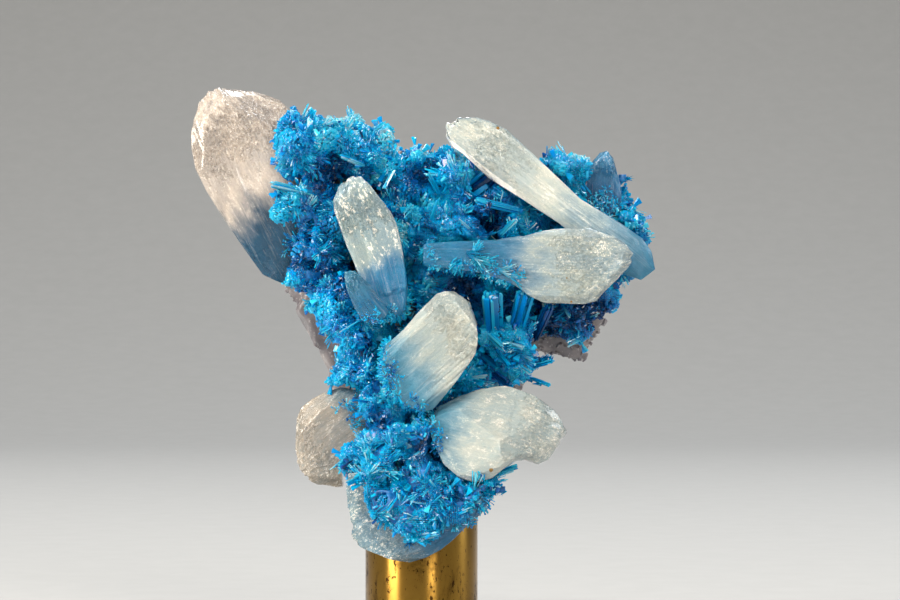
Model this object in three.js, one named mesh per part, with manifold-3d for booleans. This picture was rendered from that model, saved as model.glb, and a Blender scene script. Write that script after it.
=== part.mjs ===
// Cavansite with stilbite crystals, standing on a short brass post.
// Millimetres. +X is to the right and +Z is up; the specimen's front looks along -Y.
// The origin is the middle of the post's flat base.
import * as THREE from 'three';
import { mergeVertices } from 'three/addons/utils/BufferGeometryUtils.js';
import { ConvexGeometry } from 'three/addons/geometries/ConvexGeometry.js';
import { LoftGeometry } from 'three/addons/geometries/LoftGeometry.js';
import Module from 'manifold-3d';

const wasm = await Module();
wasm.setup();

// ---------------------------------------------------------------- driving dimensions

const CLEAR = 0.3;               // gap kept between two pieces that touch
const POST_DIAMETER = 9.53;      // three-eighths of an inch
const POST_HEIGHT = 12.7;        // half an inch
const POST_EDGE = 0.35;          // chamfer at the post's top and bottom edges
const POST_SIDES = 32;
const SEAT_Z = POST_HEIGHT + CLEAR;
const CONTACT_Y = 0.9;           // mean depth at which cavansite gives way to matrix
const CONTACT_WAVE = 1.1;        // how far that contact wanders to front and back
const LUMP_POINTS = 14;          // corners of one faceted lump
const LUMP_REACH = 1.07;         // how far the corners stand out, as the flats lie within
const LUMP_JITTER = 0.09;        // how far the corners stray, as a share of the radius
const ROSETTE_RISE = 0.42;       // how far a rosette's spines stand above its hollows

// ---------------------------------------------------------------- tools

function seededRandom(seed) {
  let state = seed >>> 0;
  return () => {
    state = (state + 0x6d2b79f5) >>> 0;
    let t = state;
    t = Math.imul(t ^ (t >>> 15), t | 1);
    t ^= t + Math.imul(t ^ (t >>> 7), t | 61);
    return ((t ^ (t >>> 14)) >>> 0) / 4294967296;
  };
}

// A closed three.js geometry as a manifold-3d solid.
function solidFrom(geometry) {
  const plain = new THREE.BufferGeometry();
  plain.setAttribute('position', geometry.getAttribute('position'));
  plain.setIndex(geometry.index);
  const merged = mergeVertices(plain, 1e-4);
  const mesh = new wasm.Mesh({
    numProp: 3,
    vertProperties: new Float32Array(merged.attributes.position.array),
    triVerts: new Uint32Array(merged.index.array),
  });
  return new wasm.Manifold(mesh);
}

// A manifold-3d solid back as a three.js geometry.
function geometryFrom(solid) {
  const mesh = solid.getMesh();
  const points = [];
  for (let i = 0; i < mesh.vertProperties.length; i += mesh.numProp) {
    points.push(mesh.vertProperties[i], mesh.vertProperties[i + 1], mesh.vertProperties[i + 2]);
  }
  const geometry = new THREE.BufferGeometry();
  geometry.setAttribute('position', new THREE.Float32BufferAttribute(points, 3));
  geometry.setIndex(Array.from(mesh.triVerts));
  geometry.computeVertexNormals();
  return geometry;
}

function joined(solids) {
  return wasm.Manifold.union(solids);
}

// The biggest connected piece of a solid: crumbs that a cut leaves loose are dropped.
function biggestPiece(solid) {
  const pieces = solid.decompose();
  pieces.sort((a, b) => b.volume() - a.volume());
  return pieces[0];
}

function nearestOnAxis(axis, x, z) {
  const [[ax, az], [bx, bz]] = axis;
  const dx = bx - ax;
  const dz = bz - az;
  const along = ((x - ax) * dx + (z - az) * dz) / (dx * dx + dz * dz);
  const t = Math.min(1, Math.max(0, along));
  return [ax + t * dx, az + t * dz];
}

// ---------------------------------------------------------------- stilbite crystals

// One tabular crystal: a flat front face and a flat back face, with sloping rim facets.
// outline: [x, z, bevel] corners, clockwise as seen from the front.
// axis: the crystal's long line in the same view. The rim slopes towards it.
// front, back: [y, slope along x, slope along z] of the two flat faces, y at the axis start.
function tabularCrystal({ outline, axis, front, back }) {
  const [x0, z0] = axis[0];
  const faceY = (face, x, z) => face[0] + face[1] * (x - x0) + face[2] * (z - z0);
  const ring = (inset, face, shift) => outline.map(([x, z, bevel]) => {
    const [nx, nz] = nearestOnAxis(axis, x, z);
    const reach = Math.hypot(x - nx, z - nz);
    const kept = Math.max(0.12, 1 - inset * bevel / reach);
    const px = nx + (x - nx) * kept;
    const pz = nz + (z - nz) * kept;
    return new THREE.Vector3(px, faceY(face, px, pz) + shift * bevel, pz);
  });
  const sections = [
    ring(1, front, 0),
    ring(0.4, front, 0.2),
    ring(0, front, 0.62),
    ring(0.12, back, -0.7),
    ring(0.75, back, 0),
  ];
  return solidFrom(new LoftGeometry(sections, { closed: true, capStart: true, capEnd: true }));
}

// The corner i of a clockwise outline, moved square out from its two edges.
function cornerMovedOut(outline, i, distance) {
  const count = outline.length;
  const corner = new THREE.Vector2(outline[i][0], outline[i][1]);
  const before = outline[(i + count - 1) % count];
  const after = outline[(i + 1) % count];
  const arriving = corner.clone().sub(new THREE.Vector2(before[0], before[1])).normalize();
  const leaving = new THREE.Vector2(after[0], after[1]).sub(corner).normalize();
  const out = new THREE.Vector2(-arriving.y - leaving.y, arriving.x + leaving.x);
  return corner.addScaledVector(out, distance / (1 + arriving.dot(leaving)));
}

// The socket that a crystal sits in: its outline and both faces, moved out by the clearance.
function crystalSocket({ outline, axis, front, back }) {
  const [x0, z0] = axis[0];
  const ring = (face, shift) => outline.map((_, i) => {
    const p = cornerMovedOut(outline, i, CLEAR);
    const y = face[0] + face[1] * (p.x - x0) + face[2] * (p.y - z0) + shift;
    return new THREE.Vector3(p.x, y, p.y);
  });
  const sections = [ring(front, -CLEAR), ring(back, CLEAR)];
  return solidFrom(new LoftGeometry(sections, { closed: true, capStart: true, capEnd: true }));
}

const UPPER_LEFT = {
  axis: [[-11.6, 34.0], [-15.6, 44.0]],
  front: [-4.9, 0.06, 0.05],
  back: [-0.3, -0.02, 0.03],
  outline: [
    [-11.4, 31.0, 0.8], [-13.3, 31.8, 0.8], [-15.0, 34.2, 0.9], [-16.7, 36.8, 1.0],
    [-18.0, 38.9, 1.0], [-18.9, 40.7, 1.1], [-19.25, 42.4, 1.2], [-19.3, 43.6, 1.2],
    [-19.1, 45.2, 1.2], [-18.8, 46.6, 1.3], [-18.0, 47.5, 1.5], [-16.6, 47.7, 1.8],
    [-14.9, 47.55, 2.0], [-13.2, 47.2, 2.0], [-11.9, 46.7, 1.8], [-11.2, 45.9, 1.5],
    [-10.6, 44.2, 1.2], [-10.4, 41.6, 1.0], [-10.0, 39.0, 1.0], [-9.2, 36.4, 0.9],
    [-8.8, 34.0, 0.9], [-9.4, 31.8, 0.8],
  ],
};

const LONG_BLADE = {
  axis: [[17.0, 33.7], [4.6, 42.9]],
  front: [-5.3, 0.02, -0.06],
  back: [-2.6, 0.0, -0.05],
  outline: [
    [18.4, 31.4, 0.5], [17.0, 31.9, 0.5], [14.4, 33.8, 0.5], [11.6, 36.1, 0.5],
    [8.4, 38.2, 0.5], [5.6, 39.95, 0.5], [4.5, 41.0, 0.6], [3.4, 42.0, 0.7],
    [2.4, 42.7, 0.7], [1.85, 43.6, 0.7], [1.95, 44.8, 0.9], [2.7, 45.15, 1.1],
    [4.3, 45.15, 1.2], [5.6, 44.8, 1.2], [7.2, 44.0, 1.0], [8.6, 42.7, 0.8],
    [10.9, 40.5, 0.7], [13.3, 38.2, 0.7], [16.8, 36.1, 0.7], [18.5, 34.9, 0.8],
    [19.3, 33.8, 0.9], [19.6, 32.3, 0.8],
  ],
};

const CENTRE_UPRIGHT = {
  axis: [[-2.6, 29.6], [-5.3, 38.2]],
  front: [-9.0, 0.1, -0.02],
  back: [-5.6, 0.1, 0.0],
  outline: [
    [-2.0, 28.2, 0.5], [-3.4, 28.6, 0.5], [-4.3, 29.9, 0.5], [-4.9, 31.2, 0.6],
    [-5.5, 32.8, 0.7], [-6.1, 34.2, 0.9], [-6.7, 35.7, 1.1], [-7.15, 37.1, 1.2],
    [-7.3, 38.1, 1.2], [-6.9, 39.1, 1.1], [-6.3, 39.8, 1.0], [-5.6, 40.1, 0.9],
    [-4.9, 40.0, 0.8], [-4.2, 39.2, 0.7], [-3.3, 38.0, 0.6], [-2.5, 37.1, 0.6],
    [-2.0, 36.1, 0.6], [-1.6, 34.4, 0.6], [-1.3, 32.6, 0.6], [-1.05, 30.4, 0.6],
    [-1.2, 28.9, 0.5],
  ],
};

const CENTRE_SLIVER = {
  axis: [[-3.2, 28.4], [-5.6, 31.5]],
  front: [-10.7, -0.12, -0.02],
  back: [-9.65, -0.1, 0.0],
  outline: [
    [-2.9, 28.2, 0.3], [-3.7, 27.8, 0.3], [-4.8, 28.0, 0.35], [-5.6, 29.2, 0.4],
    [-6.2, 30.8, 0.4], [-6.45, 32.2, 0.4], [-5.4, 32.2, 0.4], [-4.2, 31.1, 0.4],
    [-3.2, 29.8, 0.35], [-2.6, 28.8, 0.3],
  ],
};

const MIDDLE = {
  axis: [[-0.4, 23.8], [2.1, 27.8]],
  front: [-12.0, 0.05, 0.02],
  back: [-7.2, 0.0, 0.1],
  outline: [
    [0.2, 20.5, 1.0], [-1.2, 21.2, 1.0], [-2.3, 22.4, 1.0], [-3.1, 23.9, 1.0],
    [-3.35, 25.3, 1.0], [-3.0, 26.7, 0.9], [-2.2, 27.8, 0.8], [-0.9, 28.9, 0.8],
    [0.2, 29.7, 0.8], [1.3, 30.25, 0.9], [2.7, 30.6, 1.0], [3.6, 30.1, 1.0],
    [4.4, 29.3, 1.0], [4.9, 28.2, 1.0], [4.85, 27.3, 1.0], [5.0, 26.3, 1.0],
    [4.8, 24.9, 1.0], [4.5, 23.9, 1.0], [3.7, 22.9, 0.9], [2.7, 22.1, 0.9],
    [1.6, 21.2, 0.9],
  ],
};

const RIGHT = {
  axis: [[2.0, 33.6], [15.0, 33.0]],
  front: [-8.4, -0.03, 0.02],
  back: [-5.75, 0.0, 0.06],
  outline: [
    [0.2, 32.8, 0.3], [0.2, 34.2, 0.3], [3.0, 34.6, 0.4], [6.0, 34.6, 0.5],
    [8.6, 34.9, 0.7], [10.2, 35.6, 0.9], [12.0, 36.0, 1.0], [14.0, 36.05, 1.1],
    [15.8, 35.8, 1.2], [17.1, 35.0, 1.2], [17.8, 34.0, 1.1], [17.9, 33.0, 1.1],
    [17.4, 31.9, 1.1], [16.4, 30.9, 1.1], [15.3, 30.0, 1.1], [14.3, 29.3, 1.0],
    [12.5, 29.2, 1.0], [10.6, 29.4, 1.0], [9.0, 29.9, 0.9], [7.8, 31.0, 0.8],
    [6.4, 31.8, 0.6], [4.0, 32.3, 0.4],
  ],
};

// The lower right crystal is a twin: a long lobe behind and a shorter lobe in front.
const LOWER_RIGHT_BACK_LOBE = {
  axis: [[3.0, 20.0], [9.6, 19.2]],
  front: [-9.6, 0.1, 0.02],
  back: [-4.9, 0.02, 0.0],
  outline: [
    [0.5, 19.4, 0.7], [1.4, 20.7, 0.8], [3.0, 21.6, 0.9], [4.6, 22.3, 1.0],
    [6.2, 22.75, 1.1], [7.7, 22.75, 1.2], [9.1, 22.35, 1.3], [10.3, 21.75, 1.4],
    [11.2, 21.0, 1.5], [11.9, 20.0, 1.5], [12.3, 19.1, 1.5], [12.15, 18.1, 1.5],
    [11.7, 17.3, 1.4], [10.9, 16.5, 1.3], [9.6, 16.0, 1.2], [8.0, 16.5, 1.1],
    [6.0, 17.0, 1.0], [4.0, 17.6, 0.9], [2.0, 18.2, 0.8],
  ],
};
const LOWER_RIGHT_FRONT_LOBE = {
  axis: [[3.0, 18.3], [5.4, 17.3]],
  front: [-11.6, 0.04, 0.08],
  back: [-5.6, 0.0, 0.0],
  outline: [
    [0.8, 18.6, 0.9], [1.2, 19.6, 0.9], [2.4, 20.2, 1.0], [4.2, 20.4, 1.1],
    [6.0, 20.0, 1.1], [7.4, 19.0, 1.1], [8.2, 17.8, 1.1], [8.1, 16.6, 1.1],
    [7.2, 15.95, 1.1], [6.2, 15.25, 1.1], [4.8, 14.75, 1.1], [3.6, 15.2, 1.0],
    [2.6, 15.8, 1.0], [1.8, 16.4, 0.9], [1.2, 17.4, 0.9],
  ],
};

const LOWER_LEFT = {
  axis: [[-6.2, 18.4], [-8.2, 17.6]],
  front: [-6.6, 0.12, 0.03],
  back: [-1.4, -0.1, 0.0],
  outline: [
    [-6.5, 13.95, 0.7], [-7.4, 14.15, 1.0], [-8.8, 14.35, 1.1], [-9.7, 14.9, 1.2],
    [-10.3, 15.9, 1.3], [-10.55, 17.2, 1.4], [-10.4, 18.8, 1.4], [-10.35, 19.9, 1.4],
    [-10.0, 20.8, 1.3], [-9.1, 21.5, 1.2], [-8.1, 22.05, 1.1], [-6.6, 22.5, 1.0],
    [-5.2, 22.2, 0.9], [-4.3, 20.6, 0.8], [-4.2, 18.6, 0.8], [-4.9, 17.0, 0.7],
    [-6.3, 16.2, 0.7], [-6.6, 15.2, 0.7],
  ],
};

const FOOT = {
  axis: [[-0.6, 14.2], [-0.8, 11.4]],
  front: [-10.9, 0.02, 0.03],
  back: [-5.1, 0.0, 0.0],
  outline: [
    [-0.9, 8.15, 0.9], [-2.2, 8.4, 0.9], [-3.6, 8.85, 0.8], [-4.9, 9.3, 0.7],
    [-5.65, 9.75, 0.6], [-5.85, 11.2, 0.6], [-6.05, 13.0, 0.6], [-6.15, 14.6, 0.6],
    [-5.8, 15.5, 0.8], [-3.0, 16.3, 1.0], [0.2, 15.9, 1.0], [2.8, 14.7, 0.9],
    [4.8, 14.0, 0.8], [5.6, 13.6, 0.8], [5.4, 12.9, 0.8], [5.0, 12.2, 0.9],
    [4.1, 11.5, 0.9], [3.4, 10.8, 0.9], [2.7, 10.1, 0.9], [1.7, 9.3, 0.9],
    [0.4, 8.6, 0.9],
  ],
};

const RIGHT_TIP = {
  axis: [[15.6, 37.6], [15.6, 41.2]],
  front: [-2.4, -0.05, 0.12],
  back: [1.0, 0.0, 0.0],
  outline: [
    [14.4, 36.6, 0.5], [13.9, 38.4, 0.5], [14.0, 40.2, 0.6], [14.5, 41.6, 0.7],
    [15.1, 42.3, 0.7], [15.7, 42.5, 0.7], [16.3, 41.9, 0.7], [16.5, 40.8, 0.6],
    [16.9, 39.2, 0.5], [16.9, 37.4, 0.5], [16.0, 36.4, 0.5],
  ],
};

const CRYSTALS = {
  stilbite_upper_left: [UPPER_LEFT],
  stilbite_long_blade: [LONG_BLADE],
  stilbite_centre_upright: [CENTRE_UPRIGHT],
  stilbite_centre_sliver: [CENTRE_SLIVER],
  stilbite_middle: [MIDDLE],
  stilbite_right: [RIGHT],
  stilbite_lower_right: [LOWER_RIGHT_BACK_LOBE, LOWER_RIGHT_FRONT_LOBE],
  stilbite_lower_left: [LOWER_LEFT],
  stilbite_foot: [FOOT],
  stilbite_right_tip: [RIGHT_TIP],
};

function crystalSolid(name) {
  return joined(CRYSTALS[name].map(tabularCrystal));
}

function crystalSockets() {
  return joined(Object.values(CRYSTALS).flat().map(crystalSocket));
}

// ---------------------------------------------------------------- lumps, rosettes, blades

// A faceted lump: the convex hull of points strewn evenly over an ellipsoid.
function facetedLump([x, y, z, rx, ry, rz], random) {
  const points = [];
  const golden = Math.PI * (3 - Math.sqrt(5));
  for (let i = 0; i < LUMP_POINTS; i += 1) {
    const level = 1 - 2 * (i + 0.5) / LUMP_POINTS;
    const round = Math.sqrt(1 - level * level);
    const turn = golden * i + random() * 0.5;
    const reach = LUMP_REACH + LUMP_JITTER * (random() * 2 - 1);
    points.push(new THREE.Vector3(
      x + rx * reach * round * Math.cos(turn),
      y + ry * reach * round * Math.sin(turn),
      z + rz * reach * level,
    ));
  }
  return solidFrom(new ConvexGeometry(points));
}

// A rosette: a ball of blades seen as one solid, twelve spines with hollows between them.
function rosette([x, y, z, radius], random) {
  const ball = new THREE.IcosahedronGeometry(1, 1);
  ball.deleteAttribute('normal');
  ball.deleteAttribute('uv');
  const star = mergeVertices(ball, 1e-4);
  const turn = new THREE.Quaternion().setFromEuler(
    new THREE.Euler(random() * 6.28, random() * 6.28, random() * 6.28),
  );
  const spineCorner = new THREE.IcosahedronGeometry(1, 0);
  const corners = spineCorner.attributes.position;
  const at = star.attributes.position;
  const p = new THREE.Vector3();
  const c = new THREE.Vector3();
  for (let i = 0; i < at.count; i += 1) {
    p.fromBufferAttribute(at, i);
    let isSpine = false;
    for (let k = 0; k < corners.count; k += 1) {
      c.fromBufferAttribute(corners, k);
      if (c.distanceTo(p) < 1e-3) {
        isSpine = true;
      }
    }
    const reach = isSpine ? 1 + ROSETTE_RISE * random() : 0.78 + 0.14 * random();
    p.multiplyScalar(radius * reach).applyQuaternion(turn);
    at.setXYZ(i, x + p.x, y + p.y, z + p.z);
  }
  return solidFrom(star);
}

// A blade: a flat bar with a chisel tip, from a point inside the crust to its tip outside.
function blade(from, to, width, depth, roll) {
  const start = new THREE.Vector3(...from);
  const end = new THREE.Vector3(...to);
  const along = end.clone().sub(start);
  const length = along.length();
  along.normalize();
  const side = new THREE.Vector3(0, 0, 1).cross(along);
  if (side.length() < 0.1) {
    side.set(1, 0, 0);
  }
  side.normalize().applyAxisAngle(along, roll);
  const flat = along.clone().cross(side);
  const at = (s, u, v) => start.clone()
    .addScaledVector(along, s * length)
    .addScaledVector(side, u * width / 2)
    .addScaledVector(flat, v * depth / 2);
  return solidFrom(new ConvexGeometry([
    at(0, -1, -1), at(0, 1, -1), at(0, 1, 1), at(0, -1, 1),
    at(0.88, -1, -1), at(0.94, 1, -1), at(0.94, 1, 1), at(0.88, -1, 1),
    at(1, 0.2, -0.6), at(1, 0.2, 0.6),
  ]));
}

// ---------------------------------------------------------------- cavansite druse

// The body of the blue crust: [x, y, z, half-width, half-depth, half-height].
const DRUSE_LUMPS = [
  [-9.6, -3.6, 42.6, 3.1, 4.2, 3.1],
  [-6.6, -2.8, 42.4, 3.0, 3.8, 2.7],
  [-4.0, -2.2, 41.6, 2.5, 3.2, 2.8],
  [-1.0, -1.6, 39.8, 3.0, 3.0, 2.8],
  [2.2, -1.6, 40.5, 3.0, 2.8, 2.7],
  [-9.4, -3.4, 37.6, 3.0, 3.4, 3.2],
  [-6.6, -2.6, 36.6, 3.2, 3.4, 3.4],
  [-9.4, -3.0, 33.6, 2.8, 3.6, 3.0],
  [-7.4, -3.4, 29.8, 2.7, 3.8, 3.4],
  [-5.2, -3.6, 27.4, 2.8, 4.2, 2.8],
  [-2.4, -2.6, 35.2, 3.6, 3.2, 3.8],
  [2.0, -2.4, 36.0, 3.8, 3.6, 3.4],
  [5.8, -2.2, 37.0, 3.4, 3.2, 2.6],
  [2.4, -1.8, 31.4, 4.2, 3.6, 3.2],
  [6.6, -1.8, 32.6, 3.6, 3.4, 3.4],
  [11.6, -0.6, 38.8, 3.4, 2.6, 3.2],
  [13.2, -0.4, 39.6, 2.2, 2.2, 2.2],
  [15.7, -0.3, 38.2, 1.9, 2.3, 3.5],
  [16.2, -0.8, 33.9, 2.9, 2.6, 3.3],
  [11.4, -1.0, 33.4, 4.0, 3.0, 3.6],
  [14.6, -0.8, 30.0, 2.8, 2.4, 2.4],
  [11.2, -0.8, 28.4, 3.8, 2.4, 2.6],
  [6.8, -2.6, 27.6, 3.2, 3.4, 3.4],
  [7.8, -3.8, 24.4, 2.7, 2.8, 2.0],
  [-4.8, -4.0, 24.0, 2.9, 4.0, 3.0],
  [0.0, -2.6, 25.4, 3.8, 3.8, 4.0],
  [3.4, -2.2, 23.6, 3.4, 3.6, 3.4],
  [-2.8, -4.8, 20.2, 2.9, 4.6, 3.2],
  [2.2, -2.6, 19.4, 3.8, 3.8, 3.8],
  [-2.4, -7.8, 17.4, 2.8, 4.4, 2.6],
  [-4.4, -7.8, 16.6, 2.1, 3.6, 2.0],
  [0.4, -8.6, 17.4, 2.2, 3.6, 2.8],
  [-3.2, -10.9, 13.8, 2.5, 1.5, 3.0],
  [-0.2, -11.0, 13.6, 2.6, 1.6, 3.4],
  [3.0, -10.7, 13.3, 2.7, 1.5, 2.3],
  [-0.2, -10.9, 10.9, 2.6, 1.2, 1.9],
  [4.4, -9.2, 14.9, 2.5, 2.4, 1.5],
];

// Balls of blades that stand proud of the crust: [x, y, z, radius].
const DRUSE_ROSETTES = [
  [-10.6, -5.2, 44.2, 1.6], [-7.6, -5.0, 43.6, 1.8], [-4.6, -4.0, 42.6, 1.7],
  [-0.6, -3.4, 41.0, 1.7], [2.6, -3.6, 40.0, 1.8], [-10.2, -5.6, 37.8, 1.8],
  [-8.8, -5.2, 34.2, 1.8], [-10.4, -5.2, 31.8, 1.5], [-7.0, -6.0, 29.0, 1.8],
  [-0.4, -4.8, 36.2, 1.7], [3.4, -5.2, 36.0, 1.8], [6.8, -4.6, 36.4, 1.5],
  [3.4, -4.2, 31.2, 1.8], [11.4, -2.4, 40.6, 1.6], [17.1, -1.7, 36.8, 1.6],
  [12.8, -2.6, 28.4, 1.7], [8.6, -5.0, 24.9, 1.8],
  [-5.9, -6.4, 24.0, 1.8], [-4.2, -8.4, 20.8, 1.8], [-1.4, -10.4, 17.6, 1.8],
  [-4.2, -11.0, 15.2, 1.4], [0.6, -11.4, 13.8, 1.6], [-1.6, -11.3, 11.4, 1.3],
];

// Single blades long enough to tell apart: [from, to, width, depth, roll].
const DRUSE_BLADES = [
  [[-9.0, -5.6, 38.4], [-12.4, -7.4, 39.0], 0.9, 0.5, 0.3],
  [[-9.2, -5.4, 37.6], [-12.0, -7.2, 38.4], 0.8, 0.5, 0.3],
  [[-9.4, -5.2, 37.4], [-12.1, -7.0, 36.8], 0.6, 0.4, 0.2],
  [[8.0, -4.4, 37.2], [4.4, -6.6, 37.9], 0.8, 0.5, 0.2],
  [[3.6, -4.4, 39.4], [2.4, -6.0, 41.2], 0.5, 0.3, 0.4],
  [[3.4, -4.4, 39.4], [3.6, -6.0, 41.4], 0.5, 0.3, 1.0],
  [[4.6, -4.8, 35.0], [3.2, -7.2, 36.6], 0.4, 0.3, 0.6],
  [[6.6, -4.4, 27.0], [6.0, -7.0, 30.2], 1.0, 0.7, 0.9],
  [[8.2, -4.0, 27.0], [8.9, -6.4, 30.4], 1.0, 0.7, 0.9],
  [[-4.0, -7.0, 28.6], [-6.4, -9.2, 27.0], 0.5, 0.3, 0.5],
  [[9.4, -4.6, 24.2], [11.1, -5.8, 24.6], 0.6, 0.3, 0.2],
  [[9.2, -4.8, 23.0], [10.6, -5.8, 22.6], 0.6, 0.3, 0.9],
  [[-1.0, -10.6, 14.8], [-2.6, -12.6, 12.6], 0.5, 0.35, 0.4],
  [[-1.4, -10.8, 10.2], [1.4, -12.2, 10.7], 0.6, 0.4, 0.3],
  [[-4.0, -10.6, 15.6], [-5.9, -11.8, 14.8], 0.5, 0.3, 0.6],
  [[5.6, -8.4, 15.2], [8.0, -9.4, 16.0], 0.6, 0.4, 0.2],
];

function druseSolid() {
  const random = seededRandom(7);
  return joined([
    ...DRUSE_LUMPS.map((lump) => facetedLump(lump, random)),
    ...DRUSE_ROSETTES.map((ball) => rosette(ball, random)),
    ...DRUSE_BLADES.map((form) => blade(...form)),
  ]);
}

// ---------------------------------------------------------------- stilbite matrix

const MATRIX_LUMPS = [
  [-8.2, 2.6, 40.2, 4.0, 4.0, 4.6],
  [-3.0, 3.2, 39.6, 4.4, 4.4, 3.4],
  [-8.2, 3.4, 33.8, 3.5, 5.0, 4.8],
  [-7.4, 3.0, 29.0, 3.0, 4.4, 4.0],
  [-6.1, 3.2, 25.2, 2.5, 4.6, 4.2],
  [-1.6, 4.4, 33.6, 5.6, 5.4, 6.0],
  [5.0, 4.0, 33.4, 5.6, 5.2, 5.6],
  [10.4, 3.4, 31.6, 4.8, 4.4, 5.4],
  [11.8, 2.0, 27.6, 4.1, 3.0, 2.9],
  [12.8, 2.6, 36.0, 3.6, 3.4, 4.0],
  [0.6, 4.6, 26.2, 5.6, 5.0, 5.4],
  [0.0, 3.6, 19.4, 5.0, 4.8, 5.2],
  [0.2, 2.4, 15.6, 4.6, 4.2, 4.0],
];

// Small crystals fused into the back of the matrix: axis, outline half-width and depths.
const MATRIX_LATHS = [
  [[-7.4, 5.4, 38.2], [-10.2, 9.2, 43.2], 3.2, 1.6, 0.3],
  [[-3.0, 5.6, 36.0], [-1.0, 10.4, 41.0], 3.6, 1.7, -0.4],
  [[-7.8, 5.2, 29.6], [-11.8, 9.0, 32.0], 3.0, 1.5, 1.1],
  [[2.6, 6.2, 31.0], [6.4, 10.8, 36.4], 4.2, 1.9, 0.5],
  [[8.6, 5.0, 31.4], [13.6, 8.4, 33.6], 3.4, 1.6, 1.3],
  [[-2.0, 6.6, 28.6], [-4.4, 11.2, 25.6], 3.8, 1.8, 0.8],
  [[4.6, 5.6, 24.8], [8.4, 9.4, 22.0], 3.0, 1.5, 0.2],
  [[-1.0, 5.2, 20.6], [-4.8, 8.6, 17.6], 3.2, 1.5, 1.0],
  [[1.4, 5.0, 19.4], [3.6, 9.0, 17.0], 2.8, 1.4, 0.1],
];

// A slab on the post's top is cut level, and nothing of the matrix reaches below it.
function belowSeat() {
  const block = new THREE.BoxGeometry(60, 60, 40);
  block.translate(0, 0, SEAT_Z - 20);
  return solidFrom(block);
}

// Everything behind the wavy contact between cavansite and matrix, moved back by shift.
function behindContact(shift) {
  const block = new THREE.BoxGeometry(60, 40, 50, 9, 1, 8);
  const at = block.attributes.position;
  for (let i = 0; i < at.count; i += 1) {
    const isFront = at.getY(i) < 0;
    const x = at.getX(i);
    const z = at.getZ(i);
    const wave = CONTACT_WAVE * Math.sin(0.33 * x + 0.6) * Math.cos(0.29 * z);
    const y = isFront ? CONTACT_Y + wave + shift : 40;
    at.setXYZ(i, x, y, z + 30);
  }
  return solidFrom(block);
}

function matrixSolid() {
  const random = seededRandom(41);
  return joined([
    ...MATRIX_LUMPS.map((lump) => facetedLump(lump, random)),
    ...MATRIX_LATHS.map((form) => blade(...form)),
  ]);
}

// ---------------------------------------------------------------- brass post

function brassPost() {
  const r = POST_DIAMETER / 2;
  const profile = [
    new THREE.Vector2(0, 0),
    new THREE.Vector2(r - POST_EDGE, 0),
    new THREE.Vector2(r, POST_EDGE),
    new THREE.Vector2(r, POST_HEIGHT - POST_EDGE),
    new THREE.Vector2(r - POST_EDGE, POST_HEIGHT),
    new THREE.Vector2(0, POST_HEIGHT),
  ];
  const geometry = new THREE.LatheGeometry(profile, POST_SIDES);
  geometry.rotateX(Math.PI / 2);
  return geometry;
}

// ---------------------------------------------------------------- assembly

const STILBITE = { color: 0xcfcbc2, roughness: 0.32, metalness: 0 };
const CAVANSITE = { color: 0x1579a8, roughness: 0.3, metalness: 0 };
const MATRIX = { color: 0x8b9298, roughness: 0.6, metalness: 0 };
const BRASS = { color: 0xc99a42, roughness: 0.22, metalness: 1 };

const specimen = new THREE.Group();

function addPiece(name, geometry, look) {
  const piece = new THREE.Mesh(geometry, new THREE.MeshStandardMaterial(look));
  piece.name = name;
  specimen.add(piece);
}

const sockets = crystalSockets();
const druse = biggestPiece(druseSolid().subtract(behindContact(0)).subtract(sockets));
const matrix = biggestPiece(
  matrixSolid().intersect(behindContact(CLEAR)).subtract(sockets).subtract(belowSeat()),
);

addPiece('brass_post', brassPost(), BRASS);
addPiece('cavansite_druse', geometryFrom(druse), CAVANSITE);
addPiece('stilbite_matrix', geometryFrom(matrix), MATRIX);
Object.keys(CRYSTALS).forEach((name) => {
  addPiece(name, geometryFrom(crystalSolid(name)), STILBITE);
});

export default specimen;
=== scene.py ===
"""Dresses the cavansite specimen: a brass post, grey matrix, blue cavansite crust and stilbite crystals.

Lengths are in metres. +X is right, -Y is the show side and +Z is up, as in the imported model.
"""

import math

import bpy
import numpy
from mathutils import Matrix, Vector, noise
from mathutils.bvhtree import BVHTree

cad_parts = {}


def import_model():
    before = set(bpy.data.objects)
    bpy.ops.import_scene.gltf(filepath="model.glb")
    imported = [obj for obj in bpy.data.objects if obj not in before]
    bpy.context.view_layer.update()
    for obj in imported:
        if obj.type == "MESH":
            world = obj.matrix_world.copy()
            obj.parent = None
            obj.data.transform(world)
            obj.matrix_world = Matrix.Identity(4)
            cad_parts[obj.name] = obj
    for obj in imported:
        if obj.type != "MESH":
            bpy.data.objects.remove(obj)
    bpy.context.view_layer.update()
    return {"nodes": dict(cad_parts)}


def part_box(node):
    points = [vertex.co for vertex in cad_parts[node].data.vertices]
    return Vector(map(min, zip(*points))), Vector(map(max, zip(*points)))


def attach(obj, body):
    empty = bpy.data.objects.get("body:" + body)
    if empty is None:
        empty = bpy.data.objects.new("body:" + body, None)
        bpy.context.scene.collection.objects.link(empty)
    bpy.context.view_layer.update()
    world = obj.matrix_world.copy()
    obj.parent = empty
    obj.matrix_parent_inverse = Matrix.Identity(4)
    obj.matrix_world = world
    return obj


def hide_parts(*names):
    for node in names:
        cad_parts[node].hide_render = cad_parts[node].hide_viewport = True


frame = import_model()

# Sweep: a sheet of pale paper lying under the post and curving up far behind it, so that no horizon
# shows. It is matt and belongs to the studio, not to the specimen.
MM = 0.001
SWEEP_SIDE = 3.2
SWEEP_BACK = 0.95
SWEEP_RISE = 1.7
SWEEP_BEND = 0.55
SWEEP_BEND_FACES = 32
PAPER_GRAIN = 4 * MM


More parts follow.
